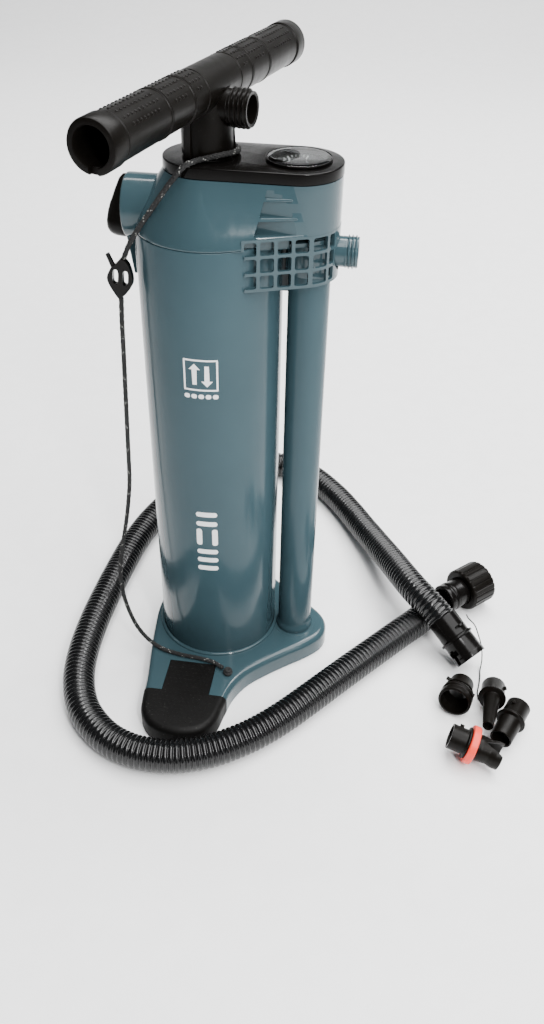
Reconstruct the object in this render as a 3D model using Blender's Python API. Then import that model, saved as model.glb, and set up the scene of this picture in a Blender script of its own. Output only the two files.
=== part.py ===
"""Double action hand pump: an upright barrel with a T handle on a piston rod, a second, thinner
delivery tube beside it, a moulded base with two foot pads, and a loose corrugated hose with adapters.

Frame: +Z up, origin on the barrel's axis at the floor, +X from the barrel to the delivery tube.
Lengths in this file are in millimetres; the helpers write metres into the meshes.
"""
import math

import bmesh
import bpy
from mathutils import Matrix, Vector

MM = 0.001
GAP = 0.3                      # clearance between neighbouring pieces

# Barrel, delivery tube and base
BARREL_R = 52.5
BORE_R = 49.5
TUBE_X = 71.9
TUBE_R = 15.2
TUBE_BORE_R = 12.7
DECK_Z = 20.0
BARREL_TOP = 400.7
TUBE_TOP = 376.8

# Head
HEAD_END_X = 61.7              # centre of the head's round right end
HEAD_END_R = 30.5
SEAM_Z = 401.0
SKIRT_BOTTOM = 371.5
SKIRT_TOP = 408.0
HEAD_TOP = 441.0
COVER_TOP = 449.0
WALL = 2.5
PORT_Z = 388.0
BOSS_Z = 411.0
BOSS_R = 22.0
BOSS_END_X = -58.0

# Piston, rod and handle
ROD_R = 11.0
ROD_BORE_R = 8.0
GUIDE_R = 11.6                 # bush and seal round the rod, with a running clearance
HUB_BOTTOM = 449.8
BAR_Z = 491.7
BAR_R = 14.5
BAR_BORE_R = 11.0
BAR_HALF = 143.5
BAR_ANGLE = math.radians(76.3)
SIDE_PORT_Z = 480.5

# Hose
HOSE_R = 14.0
HOSE_LIE_Z = 14.3
CORD_R = 2.0
STRING_R = 0.7

GREY = ("slate_grey_plastic", (0.118, 0.202, 0.235), 0.28, 0.0)
BLACK = ("black_plastic", (0.012, 0.012, 0.012), 0.38, 0.0)
RUBBER = ("black_rubber", (0.010, 0.010, 0.010), 0.62, 0.0)
HOSE_BLACK = ("black_hose", (0.008, 0.008, 0.009), 0.30, 0.0)
CORD_BLACK = ("black_cord", (0.010, 0.010, 0.010), 0.85, 0.0)
STEEL = ("screw_steel", (0.55, 0.55, 0.56), 0.30, 1.0)
WHITE = ("dial_white", (0.75, 0.74, 0.70), 0.50, 0.0)
RED = ("red_seal", (0.70, 0.035, 0.020), 0.45, 0.0)
CLEAR = ("clear_lens", (0.85, 0.88, 0.88), 0.05, 0.0)
NATURAL = ("natural_plastic", (0.62, 0.62, 0.58), 0.45, 0.0)
ALUMINIUM = ("aluminium_tube", (0.60, 0.61, 0.62), 0.30, 1.0)


# ---------------------------------------------------------------- helpers

def clear_scene():
    for obj in list(bpy.data.objects):
        bpy.data.objects.remove(obj)


def material(spec):
    name, colour, roughness, metallic = spec
    found = bpy.data.materials.get(name)
    if found:
        return found
    made = bpy.data.materials.new(name)
    made.use_nodes = True
    shader = made.node_tree.nodes["Principled BSDF"]
    shader.inputs["Base Color"].default_value = (*colour, 1.0)
    shader.inputs["Roughness"].default_value = roughness
    shader.inputs["Metallic"].default_value = metallic
    return made


def mesh_object(name, bm, spec):
    bmesh.ops.recalc_face_normals(bm, faces=bm.faces[:])
    mesh = bpy.data.meshes.new(name)
    bm.to_mesh(mesh)
    bm.free()
    obj = bpy.data.objects.new(name, mesh)
    bpy.context.scene.collection.objects.link(obj)
    mesh.materials.append(material(spec))
    return obj


def aim(obj, origin, direction):
    """Put the local +Z axis of a piece along direction, starting at origin."""
    turn = Vector(direction).to_track_quat("Z", "Y").to_matrix().to_4x4()
    obj.matrix_world = Matrix.Translation(Vector(origin) * MM) @ turn
    return obj


def turned(name, profile, spec, steps=32, origin=(0, 0, 0), direction=(0, 0, 1)):
    """A closed (radius, height) profile spun about the local Z axis."""
    bm = bmesh.new()
    verts = [bm.verts.new((r * MM, 0, z * MM)) for r, z in profile]
    edges = [bm.edges.new((verts[i - 1], verts[i])) for i in range(len(verts))
             if not (profile[i - 1][0] == 0 and profile[i][0] == 0)]
    bmesh.ops.spin(bm, geom=verts + edges, cent=(0, 0, 0), axis=(0, 0, 1),
                   angle=2 * math.pi, steps=steps, use_merge=True)
    bmesh.ops.remove_doubles(bm, verts=bm.verts[:], dist=1e-6)
    return aim(mesh_object(name, bm, spec), origin, direction)


def prism(name, outline, bottom, top, spec):
    """A flat outline in X and Y extruded from bottom to top."""
    bm = bmesh.new()
    face = bm.faces.new([bm.verts.new((x * MM, y * MM, bottom * MM)) for x, y in outline])
    lifted = bmesh.ops.extrude_face_region(bm, geom=[face])["geom"]
    bmesh.ops.translate(bm, verts=[v for v in lifted if isinstance(v, bmesh.types.BMVert)],
                        vec=(0, 0, (top - bottom) * MM))
    return mesh_object(name, bm, spec)


def hull(name, points, spec):
    bm = bmesh.new()
    for point in points:
        bm.verts.new(Vector(point) * MM)
    result = bmesh.ops.convex_hull(bm, input=bm.verts[:])
    spare = {g for g in result["geom_interior"] + result["geom_unused"]
             if isinstance(g, bmesh.types.BMVert)}
    bmesh.ops.delete(bm, geom=list(spare), context="VERTS")
    return mesh_object(name, bm, spec)


def block(name, low, high, spec=GREY):
    corners = [(x, y) for x, y in ((low[0], low[1]), (high[0], low[1]), (high[0], high[1]),
                                   (low[0], high[1]))]
    return prism(name, corners, low[2], high[2], spec)


def rod(radius, start, end, steps=24, spec=GREY):
    """A plain round bar between two points, used as a cutter or as a joined feature."""
    span = Vector(end) - Vector(start)
    profile = [(0, 0), (radius, 0), (radius, span.length), (0, span.length)]
    return turned("rod", profile, spec, steps, start, span)


def boolean(target, tool, operation):
    modifier = target.modifiers.new(operation.lower(), "BOOLEAN")
    modifier.operation = operation
    modifier.solver = "EXACT"
    modifier.object = tool
    bpy.context.view_layer.update()
    with bpy.context.temp_override(object=target, active_object=target):
        bpy.ops.object.modifier_apply(modifier=modifier.name)
    bpy.data.objects.remove(tool)
    weld(target)
    return target


def weld(obj, distance=0.003):
    """Merge corners that a cut has left closer together than the given distance."""
    bm = bmesh.new()
    bm.from_mesh(obj.data)
    bmesh.ops.dissolve_degenerate(bm, dist=distance * MM, edges=bm.edges[:])
    bmesh.ops.remove_doubles(bm, verts=bm.verts[:], dist=distance * MM)
    bm.to_mesh(obj.data)
    bm.free()


def cut(target, *tools):
    for tool in tools:
        boolean(target, tool, "DIFFERENCE")
    return target


def join(target, *tools):
    for tool in tools:
        boolean(target, tool, "UNION")
    return target


def smooth(obj, angle=35):
    obj.data.shade_smooth()
    obj.data.set_sharp_from_angle(angle=math.radians(angle))
    return obj


def circle(cx, cy, radius, count, start=0.0, end=2 * math.pi):
    closed = abs(end - start - 2 * math.pi) < 1e-9
    steps = count if closed else count - 1
    return [(cx + radius * math.cos(start + (end - start) * i / steps),
             cy + radius * math.sin(start + (end - start) * i / steps)) for i in range(count)]


def egg(radius, end_radius, end_x=HEAD_END_X, count=12):
    """Outline of two circles, at x = 0 and x = end_x, wrapped by their two common tangents."""
    lean = math.asin((radius - end_radius) / end_x)
    turn = math.pi / 2 - lean
    big = circle(0, 0, radius, 2 * count, turn, 2 * math.pi - turn)
    small = circle(end_x, 0, end_radius, count, -turn, turn)
    return big + small


def spline(points, steps, closed=False):
    """Points on a smooth Catmull-Rom curve through the given points."""
    total = len(points)
    spans = total if closed else total - 1
    result = []
    for i in range(spans):
        around = []
        for k in (i - 1, i, i + 1, i + 2):
            around.append(Vector(points[k % total] if closed else points[min(max(k, 0), total - 1)]))
        a, b, c, d = around
        for j in range(steps):
            t = j / steps
            result.append(0.5 * (2 * b + (c - a) * t + (2 * a - 5 * b + 4 * c - d) * t ** 2
                                 + (3 * b - a - 3 * c + d) * t ** 3))
    if not closed:
        result.append(Vector(points[-1]))
    return result


def even(points, spacing):
    """The same curve with its points a fixed distance apart."""
    lengths = [0.0]
    for a, b in zip(points, points[1:]):
        lengths.append(lengths[-1] + (b - a).length)
    count = max(2, round(lengths[-1] / spacing))
    result, k = [], 0
    for i in range(count + 1):
        want = lengths[-1] * i / count
        while k < len(points) - 2 and lengths[k + 1] < want:
            k += 1
        part = (want - lengths[k]) / (lengths[k + 1] - lengths[k])
        result.append(points[k].lerp(points[k + 1], min(part, 1.0)))
    return result


def cord(name, route, radius, spacing, resolution, spec, ends=()):
    """A plain round tube along a smooth curve through the route's points.

    ends holds (place, direction) pairs for the first and the last end: the tube meets that place square on.
    """
    points = even(spline(route, 12), spacing)
    stub = radius * 0.9
    for number, (place, direction) in enumerate(ends):
        tip = Vector(place) - Vector(direction).normalized() * GAP * 2
        straight = [tip, tip - Vector(direction).normalized() * stub]
        points = straight + points[1:] if number == 0 else points[:-1] + straight[::-1]
    curve = bpy.data.curves.new(name, "CURVE")
    curve.dimensions = "3D"
    curve.bevel_depth = radius * MM
    curve.bevel_resolution = resolution
    curve.use_fill_caps = True
    line = curve.splines.new("POLY")
    line.points.add(len(points) - 1)
    for point, place in zip(line.points, points):
        point.co = (*(place * MM), 1.0)
    obj = bpy.data.objects.new(name, curve)
    bpy.context.scene.collection.objects.link(obj)
    curve.materials.append(material(spec))
    return obj


def inset(outline, distance):
    """Move every point of a counter-clockwise outline inwards along its normal."""
    result = []
    for i, point in enumerate(outline):
        before, after = Vector(outline[i - 1]), Vector(outline[(i + 1) % len(outline)])
        along = (after - before).normalized()
        result.append(Vector(point) + Vector((-along.y, along.x)) * distance)
    return result


def seal_ring(name, radius, thickness, height, spec=RUBBER, steps=32, centre=(0, 0)):
    profile = [(radius + thickness * math.cos(a), height + thickness * math.sin(a))
               for a in (2 * math.pi * k / 5 for k in range(5))]
    return turned(name, profile, spec, steps, (*centre, 0))


# ---------------------------------------------------------------- base

BASE_HALF = [(-60, 0), (-58.8, -18), (-55.2, -50), (-50.4, -84), (-48.0, -110), (-45.0, -126),
             (-34, -139), (-12, -144.5), (9, -139), (19.5, -126), (23.5, -108), (28.0, -88),
             (37.5, -70), (52, -55), (69, -40.5), (86.5, -26.5), (98.5, -13.5), (102.3, 0)]
PAD_EDGE = 100.7               # the foot pads start this far from the barrel's axis
PAD_TAB = ((-32.5, -101.5), (9.0, -66.0))
RIM = 3.3
PLATE_INSET = 6.8
SCREWS = [(-11, -88), (-11, 88), (70, -26), (70, 26)]
LANYARD_HOLE = (21.4, -74.1)


def base_outline():
    half = [Vector(p) for p in BASE_HALF]
    rear = [Vector((p.x, -p.y)) for p in reversed(half[1:-1])]
    return spline(half + rear, 2, closed=True)


def rounded_slab(name, outline, top, spec):
    """The base's outline from the floor to its top, with a rounded upper edge."""
    slab = prism(name, outline, 0, top, spec)
    bm = bmesh.new()
    bm.from_mesh(slab.data)
    edges = [e for e in bm.edges if all(abs(v.co.z - top * MM) < 1e-6 for v in e.verts)]
    bmesh.ops.bevel(bm, geom=edges, offset=6 * MM, segments=2, profile=0.5, affect="EDGES")
    bmesh.ops.recalc_face_normals(bm, faces=bm.faces[:])
    bm.to_mesh(slab.data)
    bm.free()
    return slab


def make_base():
    outline = base_outline()
    base = rounded_slab("base_shell", outline, DECK_Z, GREY)
    for side in (-1, 1):
        y_low, y_high = sorted((side * PAD_EDGE, side * 200))
        cut(base, block("tip", (-90, y_low, -5), (90, y_high, 40)))
    join(base, prism("core", inset(outline, RIM), 0, DECK_Z - RIM, GREY))
    (x_low, y_front), (x_high, y_back) = PAD_TAB
    for side in (1, -1):
        y_low, y_high = sorted((side * y_front, side * (y_back + GAP)))
        cut(base, block("tab", (x_low - GAP, y_low, DECK_Z - RIM), (x_high + GAP, y_high, 40)))
    hollow = prism("hollow", inset(outline, PLATE_INSET - GAP), -1, DECK_Z - 2 * RIM, GREY)
    wide = prism("wide", inset(outline, WALL + 1.0), 3.3, DECK_Z - 3.0, GREY)
    for side in (-1, 1):
        y_low, y_high = sorted((side * 62, side * 200))
        cut(wide, block("end", (-90, y_low, -5), (110, y_high, 40)))
    cut(base, hollow, wide)
    barrel_seat = turned("seat", [(43, 11), (56, 11), (56, DECK_Z - 2), (43, DECK_Z - 2)], GREY, 32)
    tube_seat = turned("seat", [(10.9, 11), (19, 11), (19, DECK_Z - 2), (10.9, DECK_Z - 2)], GREY, 18,
                       (TUBE_X, 0, 0))
    bosses = [rod(4.5, (x, y, 3.3), (x, y, DECK_Z - (5 if abs(y) > 60 else 2))) for x, y in SCREWS]
    join(base, barrel_seat, tube_seat, *bosses)
    cut(base, rod(BARREL_R + GAP, (0, 0, 14.2), (0, 0, 30), 44),
        rod(TUBE_R + GAP, (TUBE_X, 0, 14.2), (TUBE_X, 0, 30), 24),
        rod(CORD_R + 0.6, (*LANYARD_HOLE, 5), (*LANYARD_HOLE, 30), 12))
    cut(base, *[rod(1.9, (x, y, 1), (x, y, 11.5), 12) for x, y in SCREWS])
    smooth(base)


def make_base_plate():
    plate = prism("base_plate", inset(base_outline(), PLATE_INSET), 0, 2.7, GREY)
    for x, y in SCREWS:
        cut(plate, rod(1.9, (x, y, -1), (x, y, 5), 12), rod(3.6, (x, y, -1), (x, y, 1.5), 16))
    smooth(plate)


def make_screws():
    profile = [(0, 0.2), (3.2, 0.2), (3.2, 1.2), (1.5, 1.2), (1.5, 10.5), (0, 11.2)]
    for number, (x, y) in enumerate(SCREWS, 1):
        smooth(turned(f"base_screw_{number}", profile, STEEL, 12, (x, y, 0)))


def make_foot_pad(name, side):
    """A rubber cap over one end of the base, with a tab that runs back towards the barrel."""
    outline = base_outline()
    pad = rounded_slab(name, outline, DECK_Z + 0.6, RUBBER)
    y_low, y_high = sorted((side * (PAD_EDGE + GAP), -side * 200))
    cut(pad, block("rest", (-90, y_low, -5), (120, y_high, 40)))
    cut(pad, prism("core", inset(outline, RIM - GAP), -1, DECK_Z - RIM + GAP, RUBBER))
    (x_low, y_front), (x_high, y_back) = PAD_TAB
    y_low, y_high = sorted((-side * y_front, -side * y_back))
    tab = block("tab", (x_low, y_low, DECK_Z - RIM + GAP), (x_high, y_high, DECK_Z + 0.6), RUBBER)
    join(pad, tab)
    smooth(pad)


# ---------------------------------------------------------------- barrel, tube and lower end

def make_barrel():
    profile = [(BORE_R, 14.5), (BARREL_R, 14.5), (BARREL_R, BARREL_TOP), (BORE_R, BARREL_TOP)]
    smooth(turned("main_barrel", profile, GREY, 44))


def make_side_tube():
    profile = [(TUBE_BORE_R, 14.5), (TUBE_R, 14.5), (TUBE_R, 20.4), (TUBE_R + 1.4, 20.4),
               (TUBE_R + 1.4, 24.5), (TUBE_R, 28.5), (TUBE_R, TUBE_TOP), (TUBE_BORE_R, TUBE_TOP)]
    smooth(turned("side_tube", profile, GREY, 24, (TUBE_X, 0, 0)))


def make_lower_end():
    disc = [(0, 14.5), (49.2, 14.5), (49.2, 15.3), (47.4, 15.3), (47.4, 17.2), (49.2, 17.2),
            (49.2, 18), (0, 18)]
    plate = turned("lower_end_plate", disc, BLACK, 32)
    cut(plate, rod(8.6, (28, 0, 10), (28, 0, 25), 14))
    smooth(plate)
    seal_ring("barrel_lower_seal", 48.45, 0.7, 16.25, steps=32)


def make_air_duct():
    """The flat duct under the deck that carries air from the barrel's floor to the side tube."""
    def obround(half_width):
        left = circle(28, 0, half_width, 9, math.pi / 2, 3 * math.pi / 2)
        right = circle(TUBE_X, 0, half_width, 9, -math.pi / 2, math.pi / 2)
        return left + right
    duct = prism("lower_air_duct", obround(12.5), 3.1, 10.7, BLACK)
    join(duct, rod(8.3, (28, 0, 5), (28, 0, 17.6), 14), rod(10.6, (TUBE_X, 0, 5), (TUBE_X, 0, 14.2), 18))
    cut(duct, prism("way", obround(10), 5, 8.9, BLACK))
    cut(duct, rod(6.2, (28, 0, 7), (28, 0, 25), 14), rod(8.2, (TUBE_X, 0, 7), (TUBE_X, 0, 25), 14))
    smooth(duct)


# ---------------------------------------------------------------- head

GRILLE_PITCH = 12.1
GRILLE_START = 13.9            # along the flat side, from where it leaves the barrel
GRILLE_BAR = 2.4
LATTICE_START_X = 32.0
GRILLE_ROWS = [(373.6, 383.0), (385.0, 394.9), (396.9, 406.3)]
LADDER_STEPS = [(409.0, 418.8), (421.0, 430.8), (433.0, 439.8)]


def skirt_tangent():
    lean = math.asin((BARREL_R - HEAD_END_R) / HEAD_END_X)
    start = Vector((BARREL_R * math.sin(lean), -BARREL_R * math.cos(lean)))
    finish = Vector((HEAD_END_X + HEAD_END_R * math.sin(lean), -HEAD_END_R * math.cos(lean)))
    return lean, start, finish


def grille_column(low, high, side):
    """Four plan corners of a slot through the head's flat side, at distances low and high."""
    lean, start, finish = skirt_tangent()
    along = (finish - start).normalized()
    out = Vector((along.y, -along.x))
    corners = [start + along * low + out * 3, start + along * high + out * 3,
               start + along * high - out * 4, start + along * low - out * 4]
    return [Vector((c.x, side * c.y)) for c in corners]


def round_column(low, high, side):
    """The same through the round end, between two angles in degrees."""
    ends = [(HEAD_END_R + 3, low), (HEAD_END_R + 3, high), (HEAD_END_R - 4, high), (HEAD_END_R - 4, low)]
    return [Vector((HEAD_END_X + r * math.cos(math.radians(a)), side * r * math.sin(math.radians(a))))
            for r, a in ends]


def loft(name, lower, upper, bottom, top, spec=GREY):
    return hull(name, [(*p, bottom) for p in lower] + [(*p, top) for p in upper], spec)


def make_head():
    wide = egg(BARREL_R, HEAD_END_R)
    middle = egg(41.8, HEAD_END_R)
    narrow = egg(HEAD_END_R + 0.01, HEAD_END_R)
    head = prism("head_housing", wide, SKIRT_BOTTOM, SKIRT_TOP, GREY)
    shelf = inset(wide, 0.2)
    shoulder = hull("shoulder", [(*p, SEAM_Z - 8) for p in shelf] + [(*p, SEAM_Z) for p in shelf]
                    + [(*p, 424) for p in middle] + [(*p, HEAD_TOP) for p in narrow], GREY)
    left_only = block("left", (-70, -70, SEAM_Z), (30, 70, SKIRT_TOP + 5))
    cut(head, left_only)
    join(head, shoulder)
    for side in (-1, 1):
        for bottom, top in LADDER_STEPS:
            fold = 45.3 - (440.7 - bottom) * 0.233
            slab = [(fold, side * 31.0), (80, side * 31.0), (80, side * 60), (fold, side * 60)]
            cut(head, prism("step", slab if side > 0 else slab[::-1], bottom, top, GREY))
    boss = rod(BOSS_R, (BOSS_END_X, 0, BOSS_Z), (-10, 0, BOSS_Z), 26)
    join(head, boss)
    for side in (-1, 1):
        web = [(-57.5, side * 12, 396), (-57.5, side * 9.6, 396), (-53.2, side * 12, 366),
               (-53.2, side * 9.6, 366), (-40, side * 12, 366), (-40, side * 9.6, 366),
               (-40, side * 12, 396), (-40, side * 9.6, 396)]
        join(head, hull("web", web, GREY))
    # the barrel passes up to the seam, and the air space above it is hollow
    cut(head, rod(BARREL_R + GAP, (0, 0, 300), (0, 0, SEAM_Z), 44))
    # the lattice starts with free bar ends, beside the barrel
    cut(head, block("start", (0, -70, SKIRT_BOTTOM - 5), (LATTICE_START_X, 70, SEAM_Z - 0.4)))
    cut(head, prism("skirt_space", egg(BARREL_R - WALL, HEAD_END_R - WALL), 300, 398.5, GREY))
    cone = hull("cone", [(*p, SEAM_Z - 6) for p in circle(0, 0, BORE_R, 32)]
                + [(*p, SEAM_Z + 1) for p in circle(0, 0, BORE_R, 32)]
                + [(*p, 424) for p in circle(0, 0, 38.5, 32)]
                + [(*p, HEAD_TOP + 2) for p in circle(0, 0, 27.5, 32)], GREY)
    cut(cone, block("right", (33, -60, 380), (70, 60, 450)))
    cut(head, cone)
    cut(head, prism("plenum", egg(HEAD_END_R - WALL + 0.01, HEAD_END_R - WALL), 401.5, 445, GREY))
    cut(head, rod(17.8, (TUBE_X, 0, 390), (TUBE_X, 0, 405), 20))
    cut(head, rod(12.2, (80, 0, PORT_Z), (100, 0, PORT_Z), 20))
    cut(head, rod(9.9, (-55.5, 0, BOSS_Z), (-20, 0, BOSS_Z), 20))
    cut(head, rod(4.3, (-70, 0, BOSS_Z), (-50, 0, BOSS_Z), 16))
    cut(head, rod(1.4, (-54.2, 0, 405), (-54.2, 0, 380), 10))
    for side in (-1, 1):
        for bottom, top in GRILLE_ROWS:
            for column in range(4):
                low = GRILLE_START + GRILLE_PITCH * column - (0 if column == 0 else 1.2)
                high = GRILLE_START + GRILLE_PITCH * (column + 1) - 1.2 - GRILLE_BAR
                plan = grille_column(low, high, side)
                cut(head, prism("slot", plan if side < 0 else plan[::-1], bottom, top, GREY))
            for low, high in ((61, 40), (35.5, 26)):
                plan = round_column(low, high, side)
                cut(head, prism("slot", plan if side < 0 else plan[::-1], bottom, top, GREY))
    smooth(head)


def thread(radius, crest, start, pitch, turns):
    """Outer profile points of a round thread drawn as parallel ridges."""
    points = []
    for k in range(turns):
        base = start + k * pitch
        points += [(radius, base), (crest, base + pitch * 0.35), (crest, base + pitch * 0.6)]
    return points + [(radius, start + turns * pitch)]


def make_outlet():
    body = [(15.5, 373.2), (17.5, 373.2), (17.5, 402.0), (14.3, 402.0), (14.3, 381.0), (8.5, 381.0),
            (8.5, 377.1), (15.5, 377.1)]
    outlet = turned("outlet_manifold", body, GREY, 20, (TUBE_X, 0, 0))
    pipe_end = 105.6 - TUBE_X
    outer = thread(10.6, 11.8, 19.5, 2.6, 5)
    pipe = turned("pipe", [(0, 12.5), (10.6, 12.5)] + outer + [(10.6, pipe_end), (0, pipe_end)],
                  GREY, 20, (TUBE_X, 0, PORT_Z), (1, 0, 0))
    join(outlet, pipe)
    cut(outlet, rod(14.3, (TUBE_X, 0, 381.0), (TUBE_X, 0, 410), 20))
    cut(outlet, rod(8.4, (TUBE_X + 2, 0, PORT_Z + 1.6), (120, 0, PORT_Z + 1.6), 18))
    smooth(outlet)
    disc = [(0, 381.3), (11.0, 381.3), (11.0, 382.9), (0, 382.9)]
    smooth(turned("lower_check_disc", disc, NATURAL, 14, (TUBE_X, 0, 0)))


def make_top_cover():
    cover = prism("top_cover", egg(HEAD_END_R + 0.01, HEAD_END_R), HEAD_TOP + GAP, COVER_TOP, BLACK)
    ring_outer = egg(HEAD_END_R - WALL - GAP + 0.01, HEAD_END_R - WALL - GAP)
    ring_inner = egg(HEAD_END_R - WALL - 2.2 + 0.01, HEAD_END_R - WALL - 2.2)
    plug = prism("plug", ring_outer, 436.5, HEAD_TOP + 2, BLACK)
    cut(plug, prism("inside", ring_inner, 430, HEAD_TOP + GAP, BLACK))
    join(cover, plug)
    cut(cover, rod(14.0, (0, 0, 430), (0, 0, 460), 20), rod(20.4, (HEAD_END_X, 0, 430), (HEAD_END_X, 0, 460), 24))
    smooth(cover)


def make_rod_guides():
    bush = [(GUIDE_R, 440.5), (13.7, 440.5), (13.7, 448.9), (GUIDE_R, 448.9)]
    smooth(turned("rod_bush", bush, NATURAL, 16))
    plate = turned("upper_end_plate", [(14, 388), (49.2, 388), (49.2, 394), (18.5, 394), (18.5, 398.5),
                                       (15.9, 398.5), (15.9, 393.5), (14, 393.5)], BLACK, 32)
    for k in range(4):
        angle = math.radians(45 + 90 * k)
        x, y = 31.5 * math.cos(angle), 31.5 * math.sin(angle)
        cut(plate, rod(5, (x, y, 380), (x, y, 400), 14))
    smooth(plate)
    smooth(turned("rod_seal", [(GUIDE_R, 393.8), (15.6, 393.8), (15.6, 397.6), (12.8, 397.6), (12.1, 396.0)],
                  RUBBER, 16))
    smooth(turned("upper_check_disc", [(24, 394.3), (39, 394.3), (39, 395.8), (24, 395.8)], NATURAL, 20))


def make_selector():
    spool = [(0, -63.5), (3.9, -63.5), (3.9, -55.2), (9.6, -55.2), (9.6, -36), (7.0, -36), (7.0, -52),
             (0, -52)]
    axis = dict(origin=(0, 0, BOSS_Z), direction=(1, 0, 0))
    smooth(turned("selector_spool", spool, BLACK, 20, **axis))
    knob = hull("selector_knob",
                [(-58.4, 10.5 * c, 399.3 + 10.5 * s) for c, s in circle(0, 0, 1, 16)]
                + [(-70.5, 9.5 * c, 399.0 + 9.5 * s) for c, s in circle(0, 0, 1, 16)]
                + [(-73.0, 6.0 * c, 399.0 + 6.5 * s) for c, s in circle(0, 0, 1, 16)]
                + [(-58.4, 5.5 * c, 427.0 + 5.5 * s) for c, s in circle(0, 0, 1, 12)]
                + [(-61.5, 4.2 * c, 426.5 + 4.2 * s) for c, s in circle(0, 0, 1, 12)], BLACK)
    cut(knob, rod(4.2, (-63.8, 0, BOSS_Z), (-50, 0, BOSS_Z), 16))
    centre_on(knob, (0, 0, BOSS_Z))
    smooth(knob)


def centre_on(obj, point):
    """Move a piece's origin onto its joint's axis without moving the piece."""
    place = Vector(point) * MM
    obj.data.transform(Matrix.Translation(-place))
    obj.location = place


def make_gauge():
    at = dict(origin=(HEAD_END_X, 0, 0))
    case = [(0, 437), (20.1, 437), (20.1, 449.3), (22.4, 449.3), (22.4, 450.7), (21.4, 451.2), (18, 451.2),
            (18, 439), (0, 439)]
    shell = turned("gauge_case", case, BLACK, 26, **at)
    cut(shell, rod(1.2, (HEAD_END_X + 8, 0, 430), (HEAD_END_X + 8, 0, 445), 10))
    smooth(shell)
    dial = turned("gauge_dial", [(1.2, 444.6), (17.7, 444.6), (17.7, 445.6), (1.2, 445.6)], WHITE, 24, **at)
    smooth(dial)
    needle = prism("gauge_needle", [(HEAD_END_X + x, y) for x, y in
                                    ((-13.5, -0.35), (3.5, -1.1), (3.5, 1.1), (-13.5, 0.35))],
                   446.4, 447.0, RED)
    join(needle, rod(2.2, (HEAD_END_X, 0, 446.0), (HEAD_END_X, 0, 447.6), 14, RED),
         rod(0.8, (HEAD_END_X, 0, 440.0), (HEAD_END_X, 0, 446.5), 10, RED))
    centre_on(needle, (HEAD_END_X, 0, 446))
    smooth(needle)
    lens = [(0, 448.6), (17.7, 448.6), (17.7, 450.6), (12, 451.3), (0, 451.7)]
    smooth(turned("gauge_lens", lens, CLEAR, 26, **at))


# ---------------------------------------------------------------- piston, rod and handle

def make_piston():
    def half(name, low, high, pocket_low, pocket_high, hub_low, hub_high, groove_low, groove_high):
        body = turned(name, [(11.3, low), (48.4, low), (48.4, groove_low), (45.9, groove_low),
                             (45.9, groove_high), (48.4, groove_high), (48.4, high), (11.3, high)],
                      BLACK, 32)
        cut(body, turned("pocket", [(15.5, pocket_low), (43.5, pocket_low), (43.5, pocket_high),
                                    (15.5, pocket_high)], BLACK, 26))
        cut(body, rod(17, (0, 0, hub_low), (0, 0, hub_high), 20))
        for k in range(4):
            angle = math.radians(90 * k + 45)
            x, y = 30 * math.cos(angle), 30 * math.sin(angle)
            cut(body, rod(4, (x, y, low - 2), (x, y, high + 2), 8))
        return body
    lower = half("piston_lower_half", 20.6, 28.6, 24.6, 30, 18, 24.0, 22.4, 25.6)
    upper = half("piston_upper_half", 28.9, 37.6, 27, 34.6, 36.0, 40, 32.0, 35.2)
    smooth(lower)
    smooth(upper)
    ring = [(46.3, 22.7), (49.2, 22.7), (49.2, 25.3), (46.3, 25.3)]
    smooth(turned("piston_lower_seal", ring, RUBBER, 32))
    smooth(turned("piston_upper_seal", [(r, z + 9.6) for r, z in ring], RUBBER, 32))
    smooth(turned("piston_lower_flap", [(21, 19.2), (38, 19.2), (38, 20.3), (21, 20.3)], RUBBER, 20))
    smooth(turned("piston_upper_flap", [(21, 37.9), (38, 37.9), (38, 39.0), (21, 39.0)], RUBBER, 20))


def make_rod():
    tube = turned("piston_rod", [(ROD_BORE_R, 20.9), (ROD_R, 20.9), (ROD_R, 472), (ROD_BORE_R, 472)],
                  ALUMINIUM, 20)
    cut(tube, rod(2.6, (-20, 0, 31.2), (20, 0, 31.2), 10), rod(2.6, (0, -20, 31.2), (0, 20, 31.2), 10))
    smooth(tube)
    smooth(turned("rod_nut", [(11.3, 20.9), (16.5, 20.9), (16.5, 23.7), (11.3, 23.7)], STEEL, 18))
    smooth(turned("rod_collar", [(11.3, 36.3), (16.5, 36.3), (16.5, 41), (11.3, 41)], BLACK, 18))


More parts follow.
